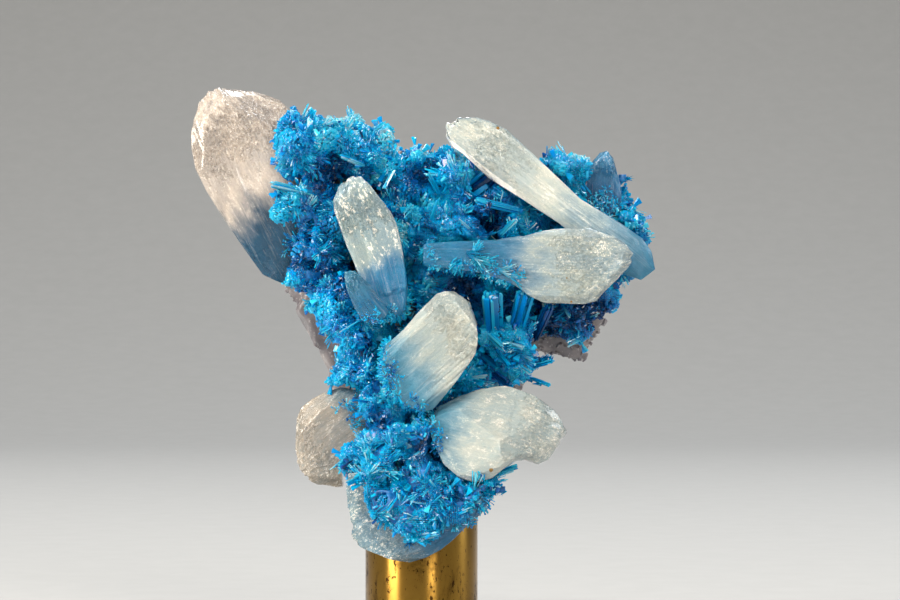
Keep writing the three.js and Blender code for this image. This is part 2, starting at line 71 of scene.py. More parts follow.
def srgb(red, green, blue):
    """A colour given as it looks on a screen, 0 to 255, turned into the light that Blender works in."""
    parts = []
    for part in (red, green, blue):
        shown = part / 255
        parts.append(shown / 12.92 if shown <= 0.04045 else ((shown + 0.055) / 1.055) ** 2.4)
    return (*parts, 1.0)


class Value:
    """One number of a material. Sums written with it add the Math nodes that work them out."""

    def __init__(self, finish, socket):
        self.finish = finish
        self.socket = socket

    def maths(self, operation, first, second):
        return self.finish.node("Math", {"operation": operation}, {0: first, 1: second})

    def __add__(self, other):
        return self.maths("ADD", self, other)

    def __radd__(self, other):
        return self.maths("ADD", other, self)

    def __sub__(self, other):
        return self.maths("SUBTRACT", self, other)

    def __rsub__(self, other):
        return self.maths("SUBTRACT", other, self)

    def __mul__(self, other):
        return self.maths("MULTIPLY", self, other)

    def __rmul__(self, other):
        return self.maths("MULTIPLY", other, self)


class Finish:
    """A material under construction. node() adds any node and gives back one of its outputs."""

    def __init__(self, name):
        self.material = bpy.data.materials.new(name)
        self.material.use_nodes = True
        self.tree = self.material.node_tree
        self.tree.nodes.clear()

    def node(self, kind, settings=None, sockets=None, output=0):
        node = self.tree.nodes.new("ShaderNode" + kind)
        for name, setting in (settings or {}).items():
            if name == "stops":
                ramp = node.color_ramp.elements
                while len(ramp) < len(setting):
                    ramp.new(0.5)
                for stop, (place, colour) in zip(ramp, setting):
                    stop.position = place
                    stop.color = colour
            else:
                setattr(node, name, setting)
        for name, value in (sockets or {}).items():
            if isinstance(value, Value):
                self.tree.links.new(value.socket, node.inputs[name])
            else:
                node.inputs[name].default_value = value
        return Value(self, node.outputs[output])

    def between(self, value, low, high):
        """0 where the value is under low, 1 where it is over high, and smooth on the way."""
        return self.node(
            "MapRange", {"interpolation_type": "SMOOTHSTEP"}, {0: value, 1: low, 2: high}
        )

    def blend(self, share, first, second):
        """The first colour where the share is 0, the second where it is 1, and a mix between."""
        return self.node("Mix", {"data_type": "RGBA"}, {0: share, 6: first, 7: second}, output=2)

    def noise(self, place, size, detail=3.0, roughness=0.55, distortion=0.0):
        """Cloudy noise from 0 to 1, whose lumps are about as large as size."""
        sockets = {
            "Vector": place,
            "Scale": 1 / size,
            "Detail": detail,
            "Roughness": roughness,
            "Distortion": distortion,
        }
        return self.node("TexNoise", {}, sockets)

    def place(self):
        return self.node("TexCoord", {}, {}, output="Object")

    def attribute(self, name, output="Fac"):
        return self.node("Attribute", {"attribute_name": name}, {}, output)

    def stretched(self, place, *scale):
        """The same places with each axis scaled, which draws a pattern out along the smallest scale."""
        return self.node("Mapping", {}, {"Vector": place, "Scale": scale})

    def vectors(self, operation, first, second, output="Vector"):
        return self.node("VectorMath", {"operation": operation}, {0: first, 1: second}, output)

    def bump(self, height, strength, distance):
        return self.node("Bump", {}, {"Strength": strength, "Distance": distance, "Height": height})

    def surface(self, shader):
        node = self.tree.nodes.new("ShaderNodeOutputMaterial")
        self.tree.links.new(shader.socket, node.inputs["Surface"])
        return self.material


def deselect_all():
    if bpy.context.object and bpy.context.object.mode != "OBJECT":
        bpy.ops.object.mode_set(mode="OBJECT")
    bpy.ops.object.select_all(action="DESELECT")


def paper():
    finish = Finish("sweep_paper")
    grain = finish.noise(finish.place(), PAPER_GRAIN, detail=5)
    colour = finish.blend(grain, srgb(172, 172, 170), srgb(180, 180, 178))
    return finish.surface(finish.node("BsdfPrincipled", {}, {"Base Color": colour, "Roughness": 0.95}))


def select_far_edge(sheet, within=0.01):
    """Selects the sheet's far edge where it lies on the ground, and nothing else."""
    bpy.ops.object.mode_set(mode="OBJECT")
    for edge in sheet.data.edges:
        ends = [sheet.data.vertices[i].co for i in edge.vertices]
        far = min(end.y for end in ends) > SWEEP_SIDE / 2 - within
        edge.select = far and max(end.z for end in ends) < within
    bpy.ops.object.mode_set(mode="EDIT")
    bpy.ops.mesh.select_mode(type="EDGE")


deselect_all()
bpy.ops.mesh.primitive_plane_add(size=SWEEP_SIDE, location=(0, SWEEP_BACK - SWEEP_SIDE / 2, 0))
sweep = bpy.context.object
sweep.name = "paper_sweep"
bpy.ops.object.mode_set(mode="EDIT")
bpy.ops.mesh.select_all(action="DESELECT")
select_far_edge(sweep)
bpy.ops.mesh.extrude_region_move(TRANSFORM_OT_translate={"value": (0, 0, SWEEP_RISE)})
select_far_edge(sweep)
bpy.ops.mesh.bevel(offset=SWEEP_BEND, segments=SWEEP_BEND_FACES)
bpy.ops.object.mode_set(mode="OBJECT")
bpy.ops.object.shade_smooth()
sweep.data.materials.append(paper())

# Studio light: a tall soft box at the left, a narrow one at the right, a soft box overhead behind the
# specimen and an even grey surround.
SPECIMEN_MIDDLE = Vector((0.001, 0.0, 0.027))
WARM_WHITE = srgb(255, 247, 236)
COOL_WHITE = srgb(244, 249, 255)
SURROUND_GREY = srgb(214, 216, 220)
SURROUND_STRENGTH = 0.19


def soft_box(name, azimuth, height, distance, width, tall, power, colour, upright=False):
    """A flat lamp round the specimen. Azimuth 0 is at the camera's side and 90 is at the right.

    Height, distance, width and tall are in metres, and power is in watts."""
    turn = math.radians(azimuth)
    place = Vector((math.sin(turn) * distance, -math.cos(turn) * distance, height))
    towards = SPECIMEN_MIDDLE - place
    if upright:
        towards.z = 0
    angles = towards.to_track_quat("-Z", "Y").to_euler()
    bpy.ops.object.light_add(type="AREA", location=place, rotation=angles)
    lamp = bpy.context.object
    lamp.name = name
    lamp.data.shape = "RECTANGLE"
    lamp.data.size = width
    lamp.data.size_y = tall
    lamp.data.energy = power
    lamp.data.color = colour[:3]


deselect_all()
soft_box("soft_box_left", -60, 0.19, 0.46, 0.17, 0.38, 3.8, WARM_WHITE, upright=True)
soft_box("soft_box_right", 22, 0.19, 0.52, 0.11, 0.38, 1.5, WARM_WHITE, upright=True)
soft_box("soft_box_high", -18, 0.50, 0.40, 0.16, 0.16, 2.4, WARM_WHITE)
soft_box("soft_box_side", 100, 0.26, 0.48, 0.16, 0.26, 0.9, COOL_WHITE)
soft_box("soft_box_overhead", 172, 0.62, 0.24, 0.26, 0.22, 3.2, COOL_WHITE)
world = bpy.data.worlds.new("studio_surround")
bpy.context.scene.world = world
world.use_nodes = True
world.node_tree.nodes["Background"].inputs["Color"].default_value = SURROUND_GREY
world.node_tree.nodes["Background"].inputs["Strength"].default_value = SURROUND_STRENGTH
bpy.context.scene.view_settings.view_transform = "Standard"
bpy.context.scene.view_settings.look = "None"

# Camera: level with the middle of the specimen and straight in front of it, on a long lens, so that
# near and far crystals keep their sizes against each other.
CAMERA_PLACE = (2.42 * MM, -286.9 * MM, 29.75 * MM)
CAMERA_LENS_MM = 135
CAMERA_SENSOR_MM = 36
bpy.ops.object.camera_add(location=CAMERA_PLACE, rotation=(math.radians(90), 0, 0))
camera = bpy.context.object
camera.data.lens = CAMERA_LENS_MM
camera.data.sensor_width = CAMERA_SENSOR_MM
camera.data.clip_start = 0.01
camera.data.clip_end = 20
bpy.context.scene.camera = camera

# Brass post: a short length of round rod, turned flat and chamfered at both ends. It is the
# specimen's stand, bright but spotted with brown tarnish, and the specimen is glued on its top.
post_low, post_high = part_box("brass_post")
POST_RADIUS = (post_high.x - post_low.x) / 2
POST_HEIGHT = post_high.z - post_low.z
POST_SIDES = 128
POST_CHAMFER = 0.35 * MM
# The lathe's facing cuts leave two shallow steps on each end, each so far in from the one before.
FACING_CUTS = (0.45 * POST_RADIUS, 0.36 * POST_RADIUS)
FACING_CUT_DEPTH = 0.05 * MM


def select_ends(rod, up):
    """Selects the faces that look straight up, or straight down where up is -1, and nothing else."""
    bpy.ops.object.mode_set(mode="OBJECT")
    for part in (*rod.data.vertices, *rod.data.edges):
        part.select = False
    for face in rod.data.polygons:
        face.select = face.normal.z * up > 0.99
    bpy.ops.object.mode_set(mode="EDIT")
    bpy.ops.mesh.select_mode(type="FACE")


def turned_brass():
    finish = Finish("turned_brass")
    place = finish.place()
    drawn_out = finish.stretched(place, 1.0, 1.0, 0.5)
    patches = finish.noise(drawn_out, 2.8 * MM, detail=7, roughness=0.66, distortion=0.5)
    specks = finish.noise(drawn_out, 0.34 * MM, detail=4, roughness=0.6)
    fine_specks = finish.noise(place, 0.13 * MM, detail=3)
    tarnished = finish.between(patches, 0.46, 0.64)
    spotted = finish.between(specks + (patches - 0.5) * 0.35, 0.60, 0.66)
    dotted = finish.between(fine_specks + (patches - 0.5) * 0.3, 0.66, 0.72)
    stain = finish.between(spotted * 0.9 + dotted * 0.7 + tarnished * 0.55, 0.1, 1.0)
    turning = finish.noise(finish.stretched(place, 0.02, 0.02, 1.0), 0.05 * MM, detail=2)
    rubbed = finish.noise(finish.stretched(place, 1.0, 1.0, 0.03), 0.10 * MM, detail=3)
    bright = finish.blend(patches, srgb(178, 138, 62), srgb(120, 88, 34))
    colour = finish.blend(stain, bright, srgb(70, 46, 20))
    roughness = 0.26 + turning * 0.06 + stain * 0.24 + finish.between(rubbed, 0.6, 0.75) * 0.06
    height = turning * 0.3 + rubbed * 0.2 - stain * 0.5
    sockets = {
        "Base Color": colour,
        "Metallic": 1.0,
        "Roughness": roughness,
        "Anisotropic": 0.9,
        "Anisotropic Rotation": 0.25,
        "Normal": finish.bump(height, 0.25, 0.02 * MM),
    }
    return finish.surface(finish.node("BsdfPrincipled", {}, sockets))


deselect_all()
middle = (0, 0, post_low.z + POST_HEIGHT / 2)
bpy.ops.mesh.primitive_cylinder_add(
    vertices=POST_SIDES, radius=POST_RADIUS, depth=POST_HEIGHT, location=middle
)
post = bpy.context.object
post.name = "post"
bpy.ops.object.transform_apply(location=True, rotation=True, scale=True)
for up in (1, -1):
    select_ends(post, up)
    bpy.ops.mesh.bevel(offset=POST_CHAMFER, segments=2, profile=0.6)
    select_ends(post, up)
    for cut in FACING_CUTS:
        bpy.ops.mesh.inset(thickness=cut)
        bpy.ops.transform.translate(value=(0, 0, -FACING_CUT_DEPTH * up))
bpy.ops.object.mode_set(mode="OBJECT")
bpy.ops.object.shade_smooth_by_angle(angle=math.radians(25))
post.data.materials.append(turned_brass())
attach(post, "root")
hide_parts("brass_post")

# Grey matrix: a dull crust of intergrown stilbite behind the blue, part of the rock that the crystals
# grew on. Its skin is made of small tablets at all angles, sunk into it and crossing where they touch.
MATRIX_GRAIN = 0.30 * MM
MATRIX_SKIN_DEPTH = 0.05 * MM
MATRIX_LUMP = 1.6 * MM
MATRIX_LUMP_DEPTH = 0.24 * MM
MERGE_WITHIN = 0.002 * MM
# Its tablets lean any way by up to an angle, and are so thick against their length.
TABLET_TRIES = 15600
TABLET_LEAN = math.radians(68)
TABLET_THICKNESS = (0.15, 0.3)
# Its left edge is a clean break along a straight line, from (x, z) down to (x, z) in mm. The skin is
# drawn to that line left of an inner x, and the pull fades in so fast from each of its ends.
CLEAN_BREAK = ((-12.0, 30.8), (-7.3, 22.6))
BREAK_INNER = -3.0
BREAK_FADE = 8
# The break is bare: no tablets stand on it, left of one x and between two z, in mm, unless they face
# well backwards. The larger ones at the back keep so far away from its line.
BREAK_RIGHT = -6.5
BREAK_LOW = 19.0
BREAK_HIGH = 32.0
BREAK_FACING = 0.4
BREAK_MARGIN = 1.8
BACK_FACING = 0.25


def new_piece(name, mesh):
    """Puts a mesh into the scene as a piece, the only one selected and the active one."""
    deselect_all()
    piece = bpy.data.objects.new(name, mesh)
    bpy.context.scene.collection.objects.link(piece)
    piece.select_set(True)
    bpy.context.view_layer.objects.active = piece
    return piece


def solid_copy(node, name):
    """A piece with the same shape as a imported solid, its loose triangles merged into closed skin."""
    piece = new_piece(name, frame["nodes"][node].data.copy())
    piece.data.materials.clear()
    bpy.ops.object.mode_set(mode="EDIT")
    bpy.ops.mesh.select_all(action="SELECT")
    bpy.ops.mesh.remove_doubles(threshold=MERGE_WITHIN)
    bpy.ops.object.mode_set(mode="OBJECT")
    return piece


def finish_modifier(piece, kind, **settings):
    """Adds one modifier to the active piece, sets it and applies it."""
    bpy.ops.object.modifier_add(type=kind)
    modifier = piece.modifiers[-1]
    for name, setting in settings.items():
        setattr(modifier, name, setting)
    bpy.ops.object.modifier_apply(modifier=modifier.name)


def regrain(piece, size):
    """Gives the piece an even skin of small faces."""
    finish_modifier(piece, "REMESH", mode="VOXEL", voxel_size=size, use_smooth_shade=True)


def sink(piece, depth):
    """Draws the skin in by the same depth all over."""
    finish_modifier(piece, "DISPLACE", strength=-depth, mid_level=0.0)


def roughen(piece, size, depth):
    """Pushes the skin in and out by cloudy lumps of that size."""
    texture = bpy.data.textures.new(piece.name + "_relief", "CLOUDS")
    texture.noise_scale = size
    finish_modifier(piece, "DISPLACE", texture=texture, texture_coords="LOCAL", strength=depth, mid_level=0.5)


def vectors_of(parts, key):
    """A vector for each of a mesh's vertices or faces, as the rows of an array."""
    rows = numpy.empty(len(parts) * 3, numpy.float32)
    parts.foreach_get(key, rows)
    return rows.reshape(-1, 3).astype(float)


def points_of(piece):
    return vectors_of(piece.data.vertices, "co")


def normals_of(piece):
    return vectors_of(piece.data.vertex_normals, "vector")


def move_points(piece, places):
    piece.data.vertices.foreach_set("co", places.ravel())
    piece.data.update()


def record(mesh, name, values):
    """Keeps a number or a vector for each vertex, which the materials read."""
    kind, key = ("FLOAT", "value") if values.ndim == 1 else ("FLOAT_VECTOR", "vector")
    attribute = mesh.attributes.new(name, kind, "POINT")
    attribute.data.foreach_set(key, values.astype(numpy.float32).ravel())


def unit(vectors):
    return vectors / numpy.linalg.norm(vectors, axis=-1, keepdims=True)


def spread_over(piece, count, apart, random):
    """Places on a piece's skin, out of count tries, at least so far apart, and the directions out of it."""
    mesh = piece.data
    mesh.calc_loop_triangles()
    corners = numpy.array([t.vertices[:] for t in mesh.loop_triangles])
    places = points_of(piece)[corners]
    crossed = numpy.cross(places[:, 1] - places[:, 0], places[:, 2] - places[:, 0])
    areas = numpy.linalg.norm(crossed, axis=1)
    chosen = random.choice(len(corners), count, p=areas / areas.sum())
    first, second = random.random((2, count))
    flipped = first + second > 1
    first[flipped], second[flipped] = 1 - first[flipped], 1 - second[flipped]
    picked = places[chosen]
    spots = picked[:, 0] + first[:, None] * (picked[:, 1] - picked[:, 0])
    spots += second[:, None] * (picked[:, 2] - picked[:, 0])
    kept, taken = [], {}
    for index, spot in enumerate(spots):
        cell = tuple(int(part // apart) for part in spot)
        near = [
            taken.get((cell[0] + i, cell[1] + j, cell[2] + k))
            for i in (-1, 0, 1)
            for j in (-1, 0, 1)
            for k in (-1, 0, 1)
        ]
        if all(other is None or numpy.linalg.norm(spots[other] - spot) > apart for other in near):
            taken[cell] = index
            kept.append(index)
    return spots[kept], unit(crossed[chosen[kept]])


def lean(directions, widest, random):
    """Turns each direction by up to the widest angle, any way round, evenly over the cap."""
    count = len(directions)
    side = unit(numpy.cross(directions, random.normal(size=(count, 3))))
    other = numpy.cross(directions, side)
    cosine = 1 - random.random(count) * (1 - math.cos(widest))
    sine = numpy.sqrt(1 - cosine**2)
    round_about = random.random(count) * 2 * math.pi
    across = side * numpy.cos(round_about)[:, None] + other * numpy.sin(round_about)[:, None]
    return directions * cosine[:, None] + across * sine[:, None]


# The tip of each small crystal lies off its axis by up to this share of its half width.
TIP_ASIDE = 0.7


def crystals_from(name, roots, axes, lengths, widths, depths, tints, random, rings, turned=None, facing=None):
    """Many small crystals in one mesh: each is a four-sided bar from a point at its root to a tip.

    rings gives how far along each bar its cross-sections stand, and how wide they are."""
    count = len(roots)
    wide = unit(numpy.cross(axes, random.normal(size=(count, 3)) if turned is None else turned))
    deep = numpy.cross(axes, wide)
    tip_shift = random.uniform(-TIP_ASIDE, TIP_ASIDE, (count, 1))
    layers = [roots[:, None]]
    reach = [0.0]
    for along, share in rings:
        centre = roots + axes * (lengths * along)[:, None]
        sideways = wide * (widths * share)[:, None] / 2
        inwards = deep * (depths * share)[:, None] / 2
        ring = [
            centre - sideways - inwards,
            centre + sideways - inwards,
            centre + sideways + inwards,
            centre - sideways + inwards,
        ]
        layers.append(numpy.stack(ring, axis=1))
        reach += [along] * 4
    tips = roots + axes * lengths[:, None] + wide * (widths[:, None] / 2 * tip_shift)
    layers.append(tips[:, None])
    reach.append(1.0)
    places = numpy.concatenate(layers, axis=1)
    each = places.shape[1]
    faces = [(0, 1 + (i + 1) % 4, 1 + i) for i in range(4)]
    for ring in range(len(rings) - 1):
        low = 1 + ring * 4
        for i in range(4):
            j = (i + 1) % 4
            faces.append((low + i, low + j, low + 4 + j))
            faces.append((low + i, low + 4 + j, low + 4 + i))
    top = 1 + (len(rings) - 1) * 4
    faces += [(top + i, top + (i + 1) % 4, each - 1) for i in range(4)]
    offsets = numpy.arange(count)[:, None, None] * each
    joined = (numpy.array(faces)[None] + offsets).reshape(-1, 3)
    mesh = bpy.data.meshes.new(name)
    mesh.from_pydata(places.reshape(-1, 3).tolist(), [], joined.tolist())
    record(mesh, "reach", numpy.tile(reach, count))
    record(mesh, "tint", numpy.repeat(tints, each))
    if facing is not None:
        record(mesh, "facing", numpy.repeat(facing, each, axis=0))
    return new_piece(name, mesh)


def skin_tree(pieces):
    """What a point is measured against to tell whether it lies inside one of the pieces."""
    places, faces = [], []
    for piece in pieces:
        start = len(places)
        places += [vertex.co.copy() for vertex in piece.data.vertices]
        faces += [[start + i for i in face.vertices] for face in piece.data.polygons]
    return BVHTree.FromPolygons(places, faces)


# A ray in a slanting direction, so that it grazes no face, tells inside from outside by the skins that
# it crosses. After each it starts again a little way on, in mm, and it gives up after this many.
PROBE = Vector((0.31, 0.88, 0.36))
PROBE_STEP = 0.001
MOST_CROSSINGS = 40


def depth_inside(tree, point):
    """How deep a point lies in the pieces of a tree: more than 0 inside and less than 0 outside."""
    start = Vector(point)
    near, normal, _, distance = tree.find_nearest(start)
    if (start - near).dot(normal) >= 0:
        return -distance
    crossings = 0
    place = start
    while crossings < MOST_CROSSINGS:
        place, _, _, _ = tree.ray_cast(place, PROBE)
        if place is None:
            break
        place += PROBE * PROBE_STEP * MM
        crossings += 1
    return distance if crossings % 2 else -distance


EDGE_STEPS = 36
EDGE_SMOOTHING = 9


def edge_curve(along, across, pick):
    """A piece's edge on one side, as a smooth curve along it."""
    owner = numpy.clip((along * EDGE_STEPS).astype(int), 0, EDGE_STEPS - 1)
    edge = numpy.array([pick(across[owner == i]) for i in range(EDGE_STEPS)])
    window = numpy.hanning(EDGE_SMOOTHING) / numpy.hanning(EDGE_SMOOTHING).sum()
    edge = numpy.convolve(numpy.pad(edge, EDGE_SMOOTHING // 2, "edge"), window, "valid")
    return numpy.interp(along, (numpy.arange(EDGE_STEPS) + 0.5) / EDGE_STEPS, edge)


def grey_stilbite(name):
    finish = Finish(name)
    place = finish.place()
    cloud = finish.noise(place, 2.4 * MM, detail=5)
    frost = finish.noise(place, 0.35 * MM, detail=4)
    body = finish.blend(finish.between(cloud, 0.35, 0.68), srgb(90, 86, 92), srgb(140, 134, 135))
    colour = finish.blend(finish.between(frost, 0.56, 0.72) * 0.6, body, srgb(206, 204, 202))
    sockets = {
        "Base Color": colour,
        "Roughness": 0.30 + frost * 0.25,
        "Subsurface Weight": 0.6,
        "Subsurface Radius": (1.0, 1.0, 1.0),
        "Subsurface Scale": 0.7 * MM,
        "IOR": 1.5,
        "Coat Weight": 0.25,
        "Coat Roughness": 0.1,
        "Normal": finish.bump(frost, 0.5, 0.05 * MM),
    }
    return finish.surface(finish.node("BsdfPrincipled", {}, sockets))


matrix = solid_copy("stilbite_matrix", "matrix_crust")
regrain(matrix, MATRIX_GRAIN)
sink(matrix, MATRIX_SKIN_DEPTH)
roughen(matrix, MATRIX_LUMP, MATRIX_LUMP_DEPTH)
places = points_of(matrix)
x, z = places[:, 0] / MM, places[:, 2] / MM
(x_high, z_high), (x_low, z_low) = CLEAN_BREAK
grown = (z - z_low) / (z_high - z_low)
edge = edge_curve(numpy.clip(grown, 0, 1), x, numpy.min)
outermost = numpy.clip((x - BREAK_INNER) / (edge - BREAK_INNER), 0, 1)
ends = numpy.clip(numpy.minimum(grown, 1 - grown) * BREAK_FADE, 0, 1)
x += (x_low + (x_high - x_low) * grown - edge) * outermost * ends
places[:, 0] = x * MM
move_points(matrix, places)
matrix_stone = grey_stilbite("matrix_stilbite")
matrix.data.materials.append(matrix_stone)

chance = numpy.random.default_rng(11)


def matrix_tablets(name, apart, back_only, length, width, sunk):
    """Tablets at all angles all over the matrix, or over its sides and back alone. Ranges are in mm."""
    spots, outward = spread_over(matrix, TABLET_TRIES, apart, chance)
    x, z = spots[:, 0] / MM, spots[:, 2] / MM
    beside_break = (z > BREAK_LOW) & (z < BREAK_HIGH)
    if back_only:
        beside_break &= x < numpy.interp(z, (z_low, z_high), (x_low, x_high)) + BREAK_MARGIN
        grown = (outward[:, 1] > BACK_FACING) & ~beside_break
    else:
        grown = ~((x < BREAK_RIGHT) & beside_break & (outward[:, 1] < BREAK_FACING))
    spots, outward = spots[grown], outward[grown]
    lengths = chance.uniform(*length, len(spots)) * MM
    piece = crystals_from(
        name,
        roots=spots - outward * sunk * MM,
        axes=lean(outward, TABLET_LEAN, chance),
        lengths=lengths,
        widths=lengths * chance.uniform(*width, len(spots)),
        depths=lengths * chance.uniform(*TABLET_THICKNESS, len(spots)),
        tints=chance.random(len(spots)),
        random=chance,
        rings=[(0.3, 0.8), (0.8, 1.0)],
    )
    piece.data.materials.append(matrix_stone)
    return piece


tablets = [
    matrix_tablets(
        "matrix_tablets", apart=0.30 * MM, back_only=False, length=(0.45, 0.80), width=(0.4, 0.8), sunk=0.36
    ),
    matrix_tablets(
        "matrix_back_tablets", apart=0.52 * MM, back_only=True, length=(0.8, 1.4), width=(0.5, 0.9), sunk=0.50
    ),
]
for piece in (matrix, *tablets):
    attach(piece, "root")
    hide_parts("stilbite_matrix")

# Stilbite crystals: flat sheaves of parallel laths that widen towards a blunt, ragged tip. Milky white
# at the tip, clear and blue at the root where the crust shines through, with a pearly lustre. White
# flashes, glints and one bright edge are highlights painted into the colour.
CRYSTAL_GRAIN = 0.11 * MM
FRONT = numpy.array([0.0, -1.0, 0.0])
# Besides its named facets, each crystal has this many small ones, ground to so many mm.
SMALL_FACETS = 10
SMALL_FACET_DEPTH = (0.05, 0.22)
# A face is made of broad laths and of fine ones: how far apart in mm, and their share of ridge and rag.
# The rag shows from this far along the crystal to its tip, and at the ends of its plates.
LATHS = ((0.9, 1.0, 1.0), (0.26, 0.42, 0.5))
LATH_DRIFT = 0.012
RAG_START = 0.74
PLATE_RAG = 0.05
# Where light goes through, stone thicker than this many mm looks the same. Each vertex's thickness is
# evened out in so many rounds, and keeps this share of its own in each.
THICKEST = 4.0
EVENING_ROUNDS = 8
OWN_SHARE = 0.4


def cut_flat(places, facing, depth):
    """Grinds a flat facet: what stands beyond the plane that faces that way is pressed back to it."""
    reach = places @ facing
    beyond = numpy.maximum(reach - (reach.max() - depth), 0)
    return places - beyond[:, None] * facing


def fitted(places, axis, side, lower, upper):
    """Draws a crystal's edges in or out to two lines of (x, z) in mm, below and above its own axis."""
    along = places @ axis
    across = places @ side
    grown = (along - along.min()) / numpy.ptp(along)
    low, high = edge_curve(grown, across, numpy.min), edge_curve(grown, across, numpy.max)
    share = numpy.clip((across - low) / (high - low), 0, 1)
    edges = []
    for line in (lower, upper):
        points = numpy.array([(x, 0.0, z) for x, z in line]) * MM
        edges.append(numpy.interp(along, points @ axis, points @ side))
    wanted = edges[0] + share * (edges[1] - edges[0])
    return places + (wanted - across)[:, None] * side


def thickness(piece, places, normals):
    """How thick the crystal is under each vertex, in mm, evened out over its neighbours."""
    tree = BVHTree.FromObject(piece, bpy.context.evaluated_depsgraph_get())
    through = numpy.empty(len(places))
    for index, (place, normal) in enumerate(zip(places, normals)):
        inward = Vector(-normal)
        distance = tree.ray_cast(Vector(place) + inward * 0.03 * MM, inward)[3]
        through[index] = (distance or 0.0) / MM
    through = numpy.minimum(through, THICKEST)
    edges = numpy.array([edge.vertices[:] for edge in piece.data.edges])
    neighbours = numpy.bincount(edges.ravel(), minlength=len(places))
    for _ in range(EVENING_ROUNDS):
        total = numpy.bincount(edges[:, 0], through[edges[:, 1]], len(places))
        total += numpy.bincount(edges[:, 1], through[edges[:, 0]], len(places))
        through = OWN_SHARE * through + (1 - OWN_SHARE) * total / neighbours
    return through


def sheaf(node, line, seed, fan, ridge, rag, facets, plates, outline=None, hull=False):
    """A packed crystal given its facets, plates and laths, which run along a line of (x, z) in mm.

    fan is how far the laths follow the outline, ridge their steps and rag their uneven ends, in mm.
    Where hull is set, the solid's own hollows are filled before it is drawn in to its outline."""
    random = numpy.random.default_rng(seed)
    piece = solid_copy(node, node.replace("stilbite", "sheaf"))
    if hull:
        bpy.ops.object.mode_set(mode="EDIT")
        bpy.ops.mesh.select_all(action="SELECT")
        bpy.ops.mesh.convex_hull()
        bpy.ops.object.mode_set(mode="OBJECT")
    regrain(piece, CRYSTAL_GRAIN)
    places = points_of(piece)
    root, tip = numpy.array(line) * MM
    flat_axis = unit(tip - root)
    axis = numpy.array([flat_axis[0], 0.0, flat_axis[1]])
    side = numpy.array([-flat_axis[1], 0.0, flat_axis[0]])
    if outline:
        places = fitted(places, axis, side, *outline)
    for forward, sideways, depth in facets:
        forward, sideways = math.radians(forward), math.radians(sideways)
        facing = axis * math.cos(forward) * math.cos(sideways) + side * math.cos(forward) * math.sin(sideways)
        places = cut_flat(places, facing + FRONT * math.sin(forward), depth * MM)
    for _ in range(SMALL_FACETS):
        facing = unit(random.normal(size=3) + axis * 0.6)
        places = cut_flat(places, facing, random.uniform(*SMALL_FACET_DEPTH) * MM)
    move_points(piece, places)
    normals = normals_of(piece)
    lengthwise = places @ axis
    across = places @ side
    grown = (lengthwise - lengthwise.min()) / numpy.ptp(lengthwise)
    low = edge_curve(grown, across, numpy.min) * fan + across.min() * (1 - fan)
    high = edge_curve(grown, across, numpy.max) * fan + across.max() * (1 - fan)
    share = numpy.clip((across - low) / (high - low), 0, 1)
    width = numpy.ptp(across) / MM
    lift = numpy.zeros(len(places))
    back = numpy.zeros(len(places))
    for show_side in (True, False):
        here = (normals[:, 1] < 0) == show_side
        drift = LATH_DRIFT * numpy.sin(grown * random.uniform(5, 9) + random.uniform(0, 6))
        for apart, height, ends in LATHS:
            count = max(2, int(width / apart))
            edges = numpy.sort(random.random(count))
            lath = numpy.searchsorted(edges, share + drift)
            tops = random.uniform(-1, 0, count + 1) * ridge * height
            stops = random.random(count + 1) ** 1.6 * rag * ends
            lift[here] += tops[lath][here]
            back[here] += stops[lath][here]
        if show_side:
            for across_from, across_to, grown_from, grown_to, height in plates:
                ragged = (stops[lath] / rag) * PLATE_RAG
                inside = (share > across_from) & (share < across_to)
                inside &= (grown > grown_from + ragged) & (grown < grown_to - ragged)
                lift[here & inside] += height
    flatness = numpy.clip(numpy.abs(normals[:, 1]) * 1.4 - 0.2, 0, 1)
    tipward = numpy.clip((grown - RAG_START) / (1 - RAG_START), 0, 1) ** 2
    places = places + normals * (lift * flatness * MM)[:, None] - axis * (back * tipward * MM)[:, None]
    move_points(piece, places)
    finish_modifier(piece, "SMOOTH", factor=0.35, iterations=1)
    record(piece.data, "lie", numpy.stack([share * width, places[:, 1] / MM, lengthwise / MM], axis=1))
    record(piece.data, "grown", grown)
    record(piece.data, "share", share)
    record(piece.data, "through", thickness(piece, points_of(piece), normals_of(piece)))
    bpy.ops.object.shade_smooth()
    return piece


def facet_height(finish, place, size):
    """Height of a skin of small flat facets, each tilted its own way, to feed a bump."""
    cells = finish.node("TexVoronoi", {"feature": "F1"}, {"Vector": place, "Scale": 1 / size}, "Color")
    tilt = finish.vectors("SUBTRACT", cells, (0.5, 0.5, 0.5))
    inside = finish.node("VectorMath", {"operation": "SCALE"}, {0: place, "Scale": 1 / size}, "Vector")
    return finish.vectors("DOT_PRODUCT", tilt, inside, "Value")


BRIGHT_WHITE = srgb(252, 246, 236)
SPECK_BROWN = srgb(168, 124, 48)


